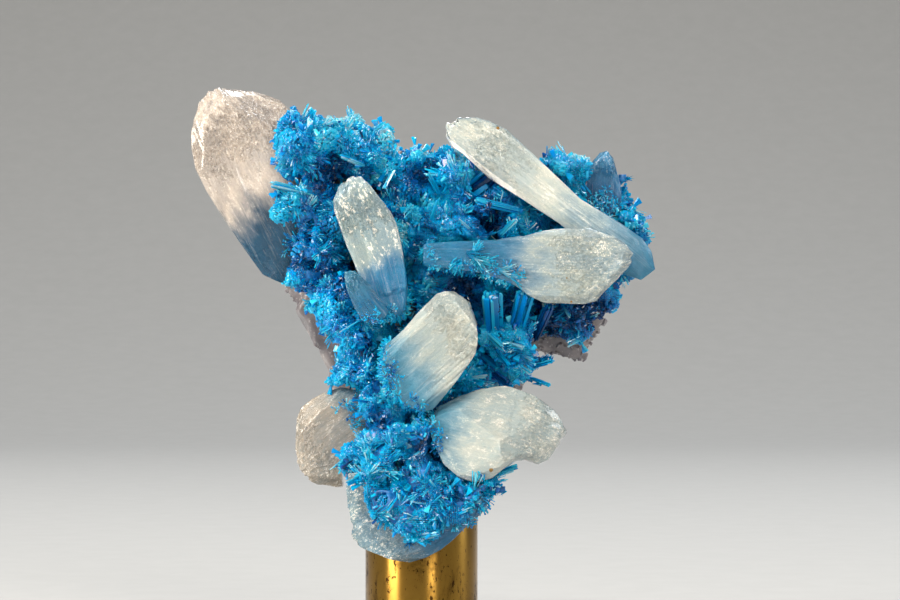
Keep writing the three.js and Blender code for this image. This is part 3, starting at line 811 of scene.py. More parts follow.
def stilbite(name, milk, root, clear_end, milk_start, clearness, painted_flashes, frost=1.0, edge_highlight_from=None, specks=()):
    """Stilbite that is clear and root-coloured up to clear_end of its length, milky from milk_start.

    painted_flashes is how strongly white patches show in it, flashes of light off inner planes painted
    into the colour, and frost how rough its skin is towards the tip. edge_highlight_from is how far
    across, 0 to 1, a pale band along its edge starts, a highlight painted into the colour where the
    side face would catch the light. specks are brown spots, given by (x, z, radius) in mm."""
    finish = Finish(name)
    lie = finish.attribute("lie", "Vector")
    grown = finish.attribute("grown")
    drawn = finish.stretched(lie, 1.0, 1.0, 0.6)
    long_drawn = finish.stretched(lie, 1.0, 0.4, 0.02)
    cloud = finish.noise(drawn, 2.2, detail=3, roughness=0.5, distortion=0.3)
    mottle = finish.noise(drawn, 0.75, detail=5, roughness=0.6, distortion=0.5)
    grain = finish.noise(drawn, 0.22, detail=5, roughness=0.68, distortion=0.25)
    stripes = finish.noise(long_drawn, 0.22, detail=5, roughness=0.66)
    hairlines = finish.noise(long_drawn, 0.09, detail=2, roughness=0.5)
    lines = finish.between(stripes, 0.56, 0.60) - finish.between(stripes, 0.42, 0.38)
    thick = finish.between(finish.attribute("through") + (mottle - 0.5) * 1.2, 0.3, 2.0)
    fringe = grown + (cloud - 0.5) * 0.28 + (mottle - 0.5) * 0.16 + (stripes - 0.5) * 0.06
    milky = finish.between(fringe, clear_end, milk_start) * (thick * 0.45 + 0.55)
    tip = finish.between(grown + (mottle - 0.5) * 0.6, 0.60, 0.88)
    worn = (tip * 0.6 + 0.4) * frost
    tone = finish.between(cloud * 0.5 + mottle * 0.4 + stripes * 0.1, 0.40, 0.60)
    cool = [light * 0.74 + dark * 0.22 for light, dark in zip(milk[:3], root[:3])] + [1.0]
    deep = [part * 0.78 for part in root[:3]] + [1.0]
    stem = finish.blend(finish.between(cloud * 0.4 + mottle * 0.5 + stripes * 0.1, 0.40, 0.60), deep, root)
    body = finish.blend(milky, stem, finish.blend(tone, cool, milk))
    body = finish.blend(finish.between(grain, 0.50, 0.36) * worn * 0.30, body, stem)
    light = finish.between(grain, 0.52, 0.62) * worn * 0.4
    # Small bright dots, most of them towards the tip: glints painted into the colour as white.
    painted_glints = finish.between(finish.noise(lie, 0.12, detail=2) + (mottle - 0.5) * 0.5, 0.63, 0.70) * (worn + 0.3)
    # White patches in the milky part: flashes of light off inner planes, painted into the colour.
    patches = finish.between(mottle * 0.55 + grain * 0.45, 0.53, 0.59) * painted_flashes * (milky * 0.85 + 0.15)
    bright = (light * 0.8 + patches * 0.65 + painted_glints * 0.6) * (milky * 0.75 + 0.25) + lines * 0.16
    # A bright band along one edge towards the tip: a highlight painted into the colour, as if the side face
    # caught the light.
    if edge_highlight_from:
        across = finish.attribute("share") + (grain - 0.5) * 0.05
        painted_edge_highlight = finish.between(across, edge_highlight_from, edge_highlight_from + 0.03) * finish.between(grown, 0.55, 0.68)
        bright = bright + painted_edge_highlight * 1.2
    colour = finish.blend(finish.between(bright, 0.0, 1.0), body, BRIGHT_WHITE)
    for x, z, radius in specks:
        flat = finish.vectors("MULTIPLY", finish.place(), (1, 0, 1))
        away = finish.vectors("DISTANCE", flat, (x * MM, 0, z * MM), "Value")
        away = away + (grain - 0.5) * radius * MM
        spot = finish.between(away, radius * MM, radius * 0.6 * MM)
        colour = finish.blend(spot, colour, SPECK_BROWN)
    facets = facet_height(finish, drawn, 0.46)
    fine_facets = facet_height(finish, lie, 0.16)
    height = stripes * 0.5 + hairlines * 0.45 + lines * 0.10 + mottle * 0.3 + grain * worn * 0.4
    height = height + facets * (worn + 0.1) * 1.3 + fine_facets * worn * 0.6
    relief = finish.bump(height, 0.9, 0.09 * MM)
    cloudy = {
        "Base Color": colour,
        "Roughness": 0.12 + grain * 0.2,
        "Subsurface Weight": 0.6,
        "Subsurface Radius": (1.0, 0.98, 0.95),
        "Subsurface Scale": 0.7 * MM,
        "IOR": 1.5,
        "Coat Weight": milky * 0.8 + 0.2,
        "Coat Roughness": 0.03,
        "Normal": relief,
    }
    clear = {
        "Base Color": finish.blend(0.50, srgb(255, 255, 255), body),
        "Roughness": 0.16,
        "Transmission Weight": 1.0,
        "IOR": 1.5,
        "Normal": relief,
    }
    milk_shader = finish.node("BsdfPrincipled", {}, cloudy)
    clear_shader = finish.node("BsdfPrincipled", {}, clear)
    share = (1 - milky) * clearness + (1 - thick) * 0.25 + 0.24 - bright * 0.2
    return finish.surface(finish.node("MixShader", {}, {0: share, 1: milk_shader, 2: clear_shader}))


CREAM = srgb(218, 204, 190)
MILK = srgb(202, 206, 197)
WHITE = srgb(198, 201, 190)
# Each crystal's shape: the line its laths follow, from (x, z) to (x, z) in mm, its seed, fan, ridge and
# rag, its facets (leaning forward and sideways in degrees, depth in mm), its raised plates (across from,
# to, along from, to, height in mm), and where it is drawn in to the real one's outline, the lines of
# (x, z) in mm below and above its own axis. Then its stone: its colours and where they change along it.
SHEAVES = {
    "upper_left": (
        dict(
            line=((-9.6, 31.6), (-16.0, 43.5)), seed=3, fan=0.45, ridge=0.04, rag=0.35,
            facets=[(80, 150, 1.3), (46, 14, 0.6), (56, 60, 0.2), (58, -60, 0.5), (20, -50, 0.3)],
            plates=[(0.2, 0.62, 0.30, 0.80, 0.07), (0.66, 0.9, 0.2, 0.62, 0.05)],
        ),
        dict(
            milk=CREAM, root=srgb(0, 74, 106), clear_end=0.28, milk_start=0.52, clearness=-0.1,
            painted_flashes=0.25, frost=0.7,
        ),
    ),
    "long_blade": (
        dict(
            line=((17.0, 33.7), (4.6, 42.9)), seed=5, fan=0.6, ridge=0.03, rag=0.5,
            facets=[(86, -90, 0.9), (64, 90, 0.7), (50, 0, 0.4)], plates=[(0.1, 0.7, 0.5, 0.94, 0.05)],
        ),
        dict(
            milk=srgb(216, 219, 208), root=srgb(56, 150, 190), clear_end=0.06, milk_start=0.52,
            clearness=0.15, painted_flashes=0.25, frost=0.8, edge_highlight_from=0.87, specks=[(6.42, 44.1, 0.16)],
        ),
    ),
    "centre_upright": (
        dict(
            line=((-2.6, 29.6), (-5.3, 38.2)), seed=7, fan=0.5, ridge=0.02, rag=0.25,
            facets=[(82, -80, 0.8), (44, 0, 0.4), (52, 60, 0.4)],
            plates=[(0.05, 0.64, 0.16, 0.94, 0.14)],
        ),
        dict(
            milk=srgb(164, 181, 178), root=srgb(0, 136, 190), clear_end=0.30, milk_start=0.46,
            clearness=0.10, painted_flashes=1.0,
        ),
    ),
    "centre_sliver": (
        dict(
            line=((-3.2, 28.4), (-5.6, 31.5)), seed=8, fan=0.4, ridge=0.03, rag=0.2,
            facets=[(70, 80, 0.4), (60, -80, 0.3)],
            plates=[
                (0.42, 0.46, 0.1, 0.9, 0.10), (0.60, 0.63, 0.2, 0.95, 0.10), (0.72, 0.74, 0.0, 0.8, 0.08),
            ],
        ),
        dict(
            milk=srgb(84, 170, 200), root=srgb(0, 128, 176), clear_end=0.3, milk_start=1.0,
            clearness=0.12, painted_flashes=0.5, frost=0.5,
        ),
    ),
    "middle": (
        dict(
            line=((-3.5, 20.9), (3.0, 26.4)), seed=9, fan=0.10, ridge=0.02, rag=0.15,
            facets=[(84, 0, 1.3), (54, 90, 0.6), (50, -90, 0.6), (46, 0, 0.5), (50, 45, 0.4)],
            plates=[
                (0.30, 0.98, 0.10, 0.92, 0.05), (0.10, 0.118, 0.12, 0.8, -0.10),
                (0.19, 0.205, 0.18, 0.86, -0.10), (0.245, 0.26, 0.3, 0.7, -0.08),
            ],
            outline=(
                [(-2.1, 20.7), (-0.46, 20.54), (1.02, 20.71), (2.83, 22.93), (4.56, 25.31), (4.72, 26.05),
                 (4.80, 27.7), (4.39, 29.34)],
                [(-3.3, 23.6), (-2.92, 26.05), (-1.44, 27.28), (-0.05, 28.93), (1.35, 30.33),
                 (2.09, 30.57), (2.83, 30.49), (3.74, 30.08), (4.39, 29.34)],
            ),
        ),
        dict(
            milk=WHITE, root=srgb(84, 164, 196), clear_end=0.12, milk_start=0.50, clearness=0.15,
            painted_flashes=0.15, frost=0.6,
        ),
    ),
    "right": (
        dict(
            line=((2.0, 33.6), (15.0, 33.0)), seed=10, fan=0.5, ridge=0.02, rag=0.3,
            facets=[(86, 90, 0.9), (50, 90, 0.4), (52, -90, 0.4), (46, 0, 0.4), (48, -40, 0.4)],
            plates=[(0.12, 0.8, 0.36, 0.93, 0.05)],
            outline=(
                [(0.2, 32.5), (2.5, 32.3), (5.0, 31.9), (7.0, 31.1), (8.6, 30.3), (10.1, 29.5),
                 (14.2, 29.35), (15.2, 30.3), (17.2, 32.1), (17.9, 33.3)],
                [(0.2, 34.5), (3.0, 34.6), (6.5, 34.8), (9.0, 35.3), (11.0, 35.7), (14.0, 35.7),
                 (16.5, 34.9), (17.5, 34.1), (17.9, 33.7)],
            ),
        ),
        dict(
            milk=srgb(184, 193, 186), root=srgb(16, 136, 186), clear_end=0.30, milk_start=0.60,
            clearness=0.15, painted_flashes=0.15, specks=[(12.07, 31.56, 0.07), (12.45, 29.6, 0.12)],
        ),
    ),
    "lower_right": (
        dict(
            line=((3.0, 20.4), (12.0, 18.4)), seed=12, fan=0.35, ridge=0.04, rag=0.3, hull=True,
            facets=[(80, 150, 1.0), (62, 30, 0.6), (50, -60, 0.5), (54, 80, 0.5)],
            plates=[(0.0, 1.0, -0.1, 0.58, 0.05)],
            outline=(
                [(0.6, 18.6), (0.91, 18.1), (2.0, 16.2), (3.2, 15.2), (4.5, 14.8), (5.85, 15.1),
                 (6.8, 15.8), (7.8, 16.4), (8.6, 16.5), (9.7, 16.1), (10.6, 16.5), (11.3, 17.3),
                 (12.0, 18.1), (12.2, 18.8)],
                [(0.6, 19.9), (0.9, 20.6), (1.6, 21.1), (3.2, 21.9), (5.0, 22.5), (7.0, 22.7), (9.4, 21.9),
                 (10.9, 20.8), (11.5, 20.3), (12.1, 19.4), (12.25, 19.0)],
            ),
        ),
        dict(
            milk=MILK, root=srgb(84, 164, 196), clear_end=0.02, milk_start=0.34, clearness=0.15,
            painted_flashes=0.45, frost=0.9, specks=[(5.77, 15.85, 0.2)],
        ),
    ),
    "lower_left": (
        dict(
            line=((-4.6, 19.8), (-10.0, 15.6)), seed=13, fan=0.4, ridge=0.04, rag=0.3,
            facets=[(78, 100, 1.0), (50, -20, 0.5), (50, 60, 0.5), (50, -80, 0.5)], plates=[],
        ),
        dict(
            milk=srgb(180, 168, 152), root=srgb(90, 140, 160), clear_end=0.02, milk_start=0.34,
            clearness=0.15, painted_flashes=0.3,
        ),
    ),
    "foot": (
        dict(
            line=((3.2, 14.2), (-5.2, 9.8)), seed=14, fan=0.1, ridge=0.05, rag=0.3,
            facets=[(80, 0, 0.9), (50, 0, 0.4), (50, 70, 0.4), (50, -60, 0.4)], plates=[],
        ),
        dict(
            milk=srgb(140, 164, 168), root=srgb(0, 124, 176), clear_end=0.34, milk_start=0.90,
            clearness=0.15, painted_flashes=0.35,
        ),
    ),
    "right_tip": (
        dict(
            line=((15.6, 37.6), (15.6, 41.2)), seed=15, fan=0.4, ridge=0.04, rag=0.2,
            facets=[(76, 60, 0.6), (20, 40, 0.3), (60, -50, 0.3)], plates=[],
        ),
        dict(
            milk=srgb(64, 146, 188), root=srgb(0, 106, 160), clear_end=0.3, milk_start=0.9,
            clearness=0.12, painted_flashes=0.1, frost=0.6,
        ),
    ),
}
crystals = {}
for name, (shape, stone) in SHEAVES.items():
    node = "stilbite_" + name
    crystal = sheaf(node, **shape)
    crystal.data.materials.append(stilbite("stone_of_" + name, **stone))
    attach(crystal, "root")
    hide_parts(node)
    crystals[name] = crystal

# Cavansite druse: a crust of blue crystals, all grown together. At the bottom lies a dark mass of
# roots, and from that stand burrs, bundles and single bars of thin, glassy blades.
CRUST_GRAIN = 0.24 * MM
CRUST_INSET = 0.50 * MM
CRUST_LUMP = 0.9 * MM
CRUST_LUMP_DEPTH = 0.2 * MM
BLADE_GRAIN = 0.175 * MM
ROSETTE_TRIES = 6000
ROSETTE_APART = 1.25 * MM
ROSETTE_RADIUS = (0.75, 1.45)
# Each rosette's ball stands out by this share of its own height, from a floor sunk this deep, and the
# crust's small lumps and large swells lift it by up to so many mm.
ROSETTE_RISE = 0.8
ROSETTE_FLOOR = 0.95 * MM
LUMP_HEIGHT = 0.15
SWELL_HEIGHT = 0.55
# The left edge of the blue crust, where it stops short of the matrix's clean break: z and x in mm.
EDGE_Z = (22.6, 23.4, 24.9, 26.2, 26.8, 28.6, 28.9, 29.8, 30.6)
EDGE_X = (-20.0, -7.2, -7.0, -6.7, -8.3, -8.7, -10.2, -11.1, -20.0)
# Hollows in the crust: middle (x, z), radius and depth in mm, and how much shade is painted into the blue
# there, 0 to 1. Painted shade darkens the hollows, a few broad shallow patches and the shadow under the
# right crystal.
HOLLOWS = [
    (-8.0, 40.0, 1.9, 0.9, 0.9),
    (-9.3, 33.5, 3.2, 0.1, 0.5),
    (-6.3, 30.8, 1.5, 0.5, 0.9),
    (-0.2, 40.0, 1.6, 0.5, 0.8),
    (5.8, 36.8, 2.4, 1.1, 0.9),
    (6.6, 28.9, 1.6, 0.8, 0.9),
    (-3.4, 19.8, 1.4, 0.4, 0.8),
    (3.4, 30.8, 1.9, 0.9, 0.9),
    (10.8, 27.8, 2.6, 0.9, 1.0),
    (14.2, 28.8, 2.8, 0.7, 1.0),
    (7.4, 25.0, 1.6, 0.3, 0.4),
    (0.5, 17.6, 1.8, 0.6, 0.8),
    (1.0, 14.0, 4.0, 0.1, 0.25),
]


def hollowness(places):
    """How much shade is painted on each place for lying in a hollow, from 0 to 1, and how deep that hollow
    is.
    """
    inside = numpy.zeros(len(places))
    depth = numpy.zeros(len(places))
    for x, z, radius, deep, dark in HOLLOWS:
        away = numpy.hypot(places[:, 0] / MM - x, places[:, 2] / MM - z) / radius
        here = numpy.clip(1.3 - away, 0, 1)
        here = here * here * (3 - 2 * here)
        inside = numpy.maximum(inside, here * dark)
        depth = numpy.maximum(depth, here * deep)
    return inside, depth


def blue_glass(name, clearness, soft):
    """Cavansite: deep blue at the root of each blade and paler towards its tip, the root darker also for
    shade painted in where the blades crowd.

    Soft blades are lit as the clump that they belong to is, and keep their own facets in the gloss."""
    finish = Finish(name)
    reach = finish.attribute("reach")
    tint = finish.attribute("tint")
    # The colour darkens towards each blade's root: its own deeper blue there, and shade painted in where the
    # blades crowd into the crust. The tint brings the shade painted into hollows and valleys.
    level = tint * 0.84 + reach * 0.16 - 0.06
    stops = [
        (0.0, srgb(0, 48, 98)),
        (0.12, srgb(0, 96, 176)),
        (0.32, srgb(0, 150, 234)),
        (0.56, srgb(0, 187, 254)),
        (0.82, srgb(66, 211, 254)),
        (1.0, srgb(206, 238, 248)),
    ]
    colour = finish.node("ValToRGB", {"stops": stops}, {0: level})
    sockets = {
        "Base Color": colour,
        "Roughness": 0.08 + tint * 0.08,
        "IOR": 1.55,
        "Specular IOR Level": 0.28,
        "Transmission Weight": clearness,
        "Subsurface Weight": 0.5,
        "Subsurface Radius": (0.3, 0.8, 1.0),
        "Subsurface Scale": 0.4 * MM,
    }
    if soft:
        facet = finish.node("NewGeometry", {}, {}, "True Normal")
        halfway = finish.vectors("ADD", finish.attribute("facing", "Vector"), facet)
        sockets["Normal"] = finish.node("VectorMath", {"operation": "NORMALIZE"}, {0: halfway}, "Vector")
    return finish.surface(finish.node("BsdfPrincipled", {}, sockets))


def root_blue():
    finish = Finish("cavansite_roots")
    place = finish.place()
    grain = finish.noise(place, 0.3 * MM, detail=4)
    region = finish.noise(place, 3.0 * MM, detail=3)
    level = grain * 0.6 + region * 0.4
    stops = [(0.3, srgb(0, 52, 98)), (0.5, srgb(0, 90, 152)), (0.7, srgb(0, 128, 200))]
    colour = finish.node("ValToRGB", {"stops": stops}, {0: level})
    bump = finish.bump(facet_height(finish, place, 0.35 * MM), 0.9, 0.16 * MM)
    sockets = {"Base Color": colour, "Roughness": 0.3 + grain * 0.2, "Normal": bump}
    return finish.surface(finish.node("BsdfPrincipled", {}, sockets))


def hills(places, size, origin=(0.0, 0.0, 0.0)):
    """Smooth hills and valleys about as large as size, from about -0.6 to 0.6, at each place."""
    shift = Vector(origin)
    return numpy.array([noise.noise(Vector(place) / size + shift) for place in places])


def lumpiness(places):
    """The crust's small hills, from about -1 to 1."""
    return (0.65 * hills(places, 1.5 * MM) + 0.35 * hills(places, 0.6 * MM)) * 1.7


def swell(places):
    """The crust's larger hills, from about -1 to 1."""
    return hills(places, 2.6 * MM, (3.1, 0.4, 7.7)) * 1.8


def rosettes_of(places):
    """Which rosette each place belongs to, and how high that rosette's ball stands over its rim there."""
    owners, rises = [], []
    for part in numpy.array_split(places, 1 + len(places) // 4000):
        away = ((part[:, None] - rosettes[None]) ** 2).sum(axis=2) - rosette_radius**2
        owners.append(away.argmin(axis=1))
        rises.append(numpy.sqrt(numpy.maximum(-away.min(axis=1), 0)))
    return numpy.concatenate(owners), numpy.concatenate(rises)


chance = numpy.random.default_rng(21)
druse_skin = solid_copy("cavansite_druse", "druse_skin")
regrain(druse_skin, CRUST_GRAIN)
rosettes, rosette_out = spread_over(druse_skin, ROSETTE_TRIES, ROSETTE_APART, chance)
rosette_radius = chance.uniform(*ROSETTE_RADIUS, len(rosettes)) * MM
places = points_of(druse_skin)
normals = normals_of(druse_skin)
_, depth = hollowness(places)
places[:, 1] += depth * numpy.clip(-normals[:, 1] + 0.3, 0, 1) * MM
_, rise = rosettes_of(places)
raised = rise * ROSETTE_RISE - ROSETTE_FLOOR
raised += lumpiness(places) * LUMP_HEIGHT * MM
raised += swell(places) * SWELL_HEIGHT * MM
places += normals * raised[:, None]
places[:, 0] = numpy.maximum(places[:, 0], numpy.interp(places[:, 2] / MM, EDGE_Z, EDGE_X) * MM)
move_points(druse_skin, places)
regrain(druse_skin, BLADE_GRAIN)
crust = new_piece("druse_crust", druse_skin.data.copy())
regrain(crust, CRUST_GRAIN)
sink(crust, CRUST_INSET)
roughen(crust, CRUST_LUMP, CRUST_LUMP_DEPTH)
bpy.ops.object.shade_smooth()
crust.data.materials.append(root_blue())

sheaf_tree = skin_tree(crystals.values())
back_tree = skin_tree([matrix, post])
grown_blades = []
# Clusters of blades differ in size. A blade's tip may lie so deep in the stone, its root lies off its
# cluster's middle by up to so many mm, and its tint scatters so much round the cluster's.
CLUSTER_SIZE = (0.7, 1.15)
TIP_IN_STONE = 0.04 * MM
ROOT_SCATTER = 0.25
TINT_SCATTER = 0.20


def free_of_stone(spots, margin):
    """True for each spot that isn't inside a crystal, the matrix or the post by more than the margin."""
    return numpy.array(
        [depth_inside(sheaf_tree, spot) < margin and depth_inside(back_tree, spot) < margin for spot in spots]
    )


def grow(spots, outward, blades, lean_of_all, spread, length, width, tint, thin=0.5, buried=0.4):
    """Grows a cluster of blades at each spot.

    Each cluster leans by up to lean_of_all degrees and its blades by up to spread degrees more. length,
    width and tint are ranges, in mm and from 0 to 1, thin is a blade's thickness over its width, and
    buried is how deep its root lies, in mm."""
    middle = lean(outward, math.radians(lean_of_all), chance)
    owner = numpy.repeat(numpy.arange(len(spots)), blades)
    count = len(owner)
    inside, _ = hollowness(spots)
    hill = lumpiness(spots)
    size = chance.uniform(*CLUSTER_SIZE, len(spots)) * (1 - 0.25 * inside) * (1 + 0.2 * hill)
    # The cluster's tint, with shade painted in where it lies in a hollow and lighter where it stands on a
    # hill.
    shade = chance.uniform(*tint, len(spots)) * (1 - 0.75 * inside) + 0.22 * hill
    axes = lean(middle[owner], math.radians(spread), chance)
    roots = spots[owner] - outward[owner] * buried * MM
    roots += unit(chance.normal(size=(count, 3))) * (chance.uniform(0, ROOT_SCATTER, count) * MM)[:, None]
    lengths = size[owner] * chance.uniform(*length, count) * MM
    widths = chance.uniform(*width, count) * MM
    tints = numpy.clip(shade[owner] + chance.normal(0, TINT_SCATTER, count), 0, 1)
    kept = free_of_stone(roots + axes * lengths[:, None], TIP_IN_STONE)
    facing = unit(outward[owner] * 0.6 + axes * 0.5)
    grown_blades.append([part[kept] for part in (roots, axes, lengths, widths, widths * thin, tints, facing)])


# Each rosette is a ball of blades that spread out from its middle and end in blunt tips close together.
# Those below the foot's top are finer, and some high ones that face upwards are all pale.
FOOT_TOP = 19 * MM
PALE_TOP_LOW = 38 * MM
PALE_TOP_SHARE = 0.35
# How deep its middle lies in mm, how deep its blades' roots lie, how far the blades lean off their line
# from the middle, and how many of them stray.
ROSETTE_MIDDLE = 1.1
ROOT_DEPTH = 0.75 * MM
BLADE_LEAN = math.radians(17)
STRAY_LEAN = math.radians(55)
STRAY_SHARE = 0.09
# A blade's width in mm in the finest rosettes, and how much wider it is in the coarsest. Up to the
# crowded width each face of the skin bears a blade, and past it or at the back fewer do.
BLADE_WIDTH = 0.13
COARSE_EXTRA = 0.17
CROWDED_WIDTH = 0.17
BACK_SHARE = 0.42
spots = vectors_of(druse_skin.data.polygons, "center")
outward = vectors_of(druse_skin.data.polygons, "normal")
owner, _ = rosettes_of(spots)
# For each rosette: how coarse its blades are, how far some of them stand out, and how pale they are.
coarse = chance.random(len(rosettes)) ** 2.0
coarse = numpy.where(rosettes[:, 2] < FOOT_TOP, coarse * 0.2, coarse)
spiky = chance.random(len(rosettes)) ** 3 * numpy.where(rosette_out[:, 1] < -0.2, 1.0, 0.3)
pale = numpy.clip(chance.normal(0.40, 0.14, len(rosettes)), 0.03, 0.8)
pale_topped = (rosette_out[:, 2] > 0.5) & (rosettes[:, 2] > PALE_TOP_LOW)
pale_topped &= chance.random(len(rosettes)) < PALE_TOP_SHARE
pale = numpy.where(pale_topped, 0.95, pale)
grain = BLADE_WIDTH + COARSE_EXTRA * coarse[owner]
share = (CROWDED_WIDTH / grain) ** 1.6 * numpy.where(outward[:, 1] > 0.4, BACK_SHARE, 1.0)
kept = chance.random(len(spots)) < share
spots, outward, owner, grain = spots[kept], outward[kept], owner[kept], grain[kept]
kept = free_of_stone(spots, 0.0)
spots, outward, owner, grain = spots[kept], outward[kept], owner[kept], grain[kept]
count = len(spots)
middles = (rosettes - rosette_out * ROSETTE_MIDDLE * MM)[owner]
axes = unit(unit(spots - middles) * 0.9 + outward * 0.35)
axes = lean(axes, BLADE_LEAN, chance)
stray = chance.random(count) < STRAY_SHARE
axes = numpy.where(stray[:, None], lean(axes, STRAY_LEAN, chance), axes)
stand_out = numpy.abs(chance.normal(0, 0.08, count)) + spiky[owner] * chance.random(count) ** 2 * 0.4
stand_out = (stand_out - 0.03) * MM
inside, _ = hollowness(spots)
# Each blade's tint: its rosette's paleness, lighter on the crust's hills, with shade painted into its valleys
# and hollows.
tints = (pale[owner] + lumpiness(spots) * 0.10 + swell(spots) * 0.12) * (1 - 0.9 * inside) - 0.16 * inside
tints += chance.normal(0, 0.09, count)
widths = grain * chance.uniform(0.7, 1.3, count) * MM
rosette_turn = unit(chance.normal(size=(len(rosettes), 3)))[owner] + chance.normal(0, 0.35, (count, 3))
facing = unit(outward * 0.7 + axes * 0.4 + chance.normal(0, 0.10, (count, 3)))
tints = numpy.clip(tints, -0.2, 1)
rosette_blades = [
    spots - axes * ROOT_DEPTH, axes, stand_out + ROOT_DEPTH, widths, widths * 0.5, tints, facing, rosette_turn
]

# Bundles of finer blades stand out in front, thickest at the foot, and a few spots are kept for the
# scattered bars below. Big blunt tablets stand among the rosettes.
BUNDLE_SHARE = 0.009
FOOT_BUNDLE_SHARE = 0.024
BAR_SHARE = 0.010
BAR_LEAN = math.radians(58)
BIG_TABLET_SHARE = 0.012
at_foot = spots[:, 2] < FOOT_TOP
some = chance.random(count) < numpy.where(at_foot, FOOT_BUNDLE_SHARE, BUNDLE_SHARE)
some &= outward[:, 1] < -0.4
grow(
    spots[some], outward[some], blades=13, lean_of_all=55, spread=18, length=(1.0, 1.7), width=(0.05, 0.14),
    tint=(0.3, 0.85),
)
some = (chance.random(count) < BAR_SHARE) & (outward[:, 1] < -0.5)
bar_feet, bar_ways = spots[some] / MM, lean(outward[some], BAR_LEAN, chance)
some = (chance.random(count) < BIG_TABLET_SHARE) & (outward[:, 1] < 0.3)
grow(
    spots[some], outward[some], blades=1, lean_of_all=50, spread=0, length=(0.9, 1.3), width=(0.32, 0.6),
    tint=(0.2, 0.6), thin=0.35,
)

# Smaller blades cover the matrix's front wherever the blue crust reaches over it: no further back than
# one y, and not in its two bare patches, from (x, z) to (x, z) in mm.
STONE_GROWTH_BACK = 2.2 * MM
STONE_BARE = [((-12.3, 21.5), (-5.6, 31.0)), ((9.4, 23.5), (17.0, 29.0))]
STONE_TRIES = 30000
STONE_BLADES_APART = 0.30 * MM
spots, outward = spread_over(matrix, STONE_TRIES, STONE_BLADES_APART, chance)
x, z = spots[:, 0] / MM, spots[:, 2] / MM
bare = numpy.zeros(len(spots), bool)
for (x_from, z_from), (x_to, z_to) in STONE_BARE:
    bare |= (x > x_from) & (x < x_to) & (z > z_from) & (z < z_to)
some = (outward[:, 1] < -0.15) & (spots[:, 1] < STONE_GROWTH_BACK) & ~bare
grow(
    spots[some], outward[some], blades=3, lean_of_all=40, spread=40, length=(0.5, 0.8), width=(0.18, 0.38),
    tint=(0.05, 0.45), buried=0.2,
)

# Burrs rooted on the stone close the gaps between the crust and the crystals: middle (x, z) in mm.
GAP_BURRS = [(5.6, 23.6), (6.3, 23.1), (7.0, 22.9), (7.7, 23.1), (8.4, 23.4), (9.0, 23.9)]
IN_FRONT_OF_ALL = -30


def seen_from_front(tree, x, z):
    """The place that shows at (x, z) in mm on the pieces of a tree, or None where they don't reach."""
    return tree.ray_cast(Vector((x * MM, IN_FRONT_OF_ALL * MM, z * MM)), Vector((0, 1, 0)))[0]


roots = [seen_from_front(back_tree, x, z) for x, z in GAP_BURRS]
spots = numpy.array([root for root in roots if root])
outward = numpy.tile(FRONT, (len(spots), 1))
grow(
    spots, outward, blades=80, lean_of_all=20, spread=70, length=(0.7, 1.6), width=(0.12, 0.30),
    tint=(0.05, 0.35), buried=0.2,
)

# Blades that creep over the stilbite near its roots: the crystal, the middle (x, z) and half sizes of
# the patch in mm, how thickly it is grown and its longest blade in mm.
CREEPERS = [
    ("middle", -2.9, 22.6, 1.3, 2.6, 1.0, 0.8),
    ("middle", -1.2, 20.8, 1.5, 1.0, 0.9, 0.8),
    ("middle", -3.2, 26.0, 0.6, 1.4, 0.5, 0.8),
    ("right", 0.6, 33.6, 0.6, 1.0, 0.6, 0.7),
    ("right", 3.6, 32.2, 2.6, 0.6, 0.7, 0.7),
    ("right", 6.6, 31.7, 2.0, 0.7, 0.7, 0.8),
    ("right", 4.6, 33.4, 0.8, 0.6, 0.4, 0.6),
    ("lower_right", 0.8, 18.0, 1.0, 2.2, 0.9, 0.8),
    ("lower_left", -4.6, 20.6, 1.7, 1.9, 0.9, 0.8),
    ("lower_left", -6.4, 20.4, 0.8, 0.8, 0.5, 0.8),
    ("lower_left", -4.4, 17.0, 0.8, 2.2, 0.5, 0.8),
    ("centre_upright", -0.6, 28.8, 1.2, 0.9, 0.7, 0.8),
    ("centre_upright", -3.2, 28.2, 2.0, 0.8, 0.7, 0.8),
    ("centre_sliver", -3.4, 28.0, 1.4, 0.8, 0.8, 0.8),
    ("upper_left", -10.4, 35.4, 1.2, 4.0, 0.5, 0.8),
    ("foot", 1.2, 14.4, 4.2, 2.6, 0.7, 1.0),
    ("foot", -1.2, 11.4, 2.0, 1.0, 0.5, 0.7),
    ("foot", 2.4, 12.2, 2.0, 1.2, 0.5, 0.8),
    ("right_tip", 15.6, 37.4, 1.8, 1.4, 0.8, 0.8),
]
CREEPER_TRIES = 8000
CREEPERS_APART = 0.42 * MM
for name, x, z, half_wide, half_tall, thickly, longest in CREEPERS:
    spots, outward = spread_over(crystals[name], CREEPER_TRIES, CREEPERS_APART, chance)
    away = numpy.hypot((spots[:, 0] / MM - x) / half_wide, (spots[:, 2] / MM - z) / half_tall)
    likely = numpy.clip((1.25 - away) * 2, 0, 1) * thickly
    some = (chance.random(len(spots)) < likely) & (outward[:, 1] < 0.2)
    if some.any():
        length, width = (0.3 * longest, longest), (0.08 * longest, 0.19 * longest)
        grow(
            spots[some], outward[some], blades=16, lean_of_all=40, spread=66, length=length, width=width,
            tint=(0.2, 0.75), buried=0.10,
        )

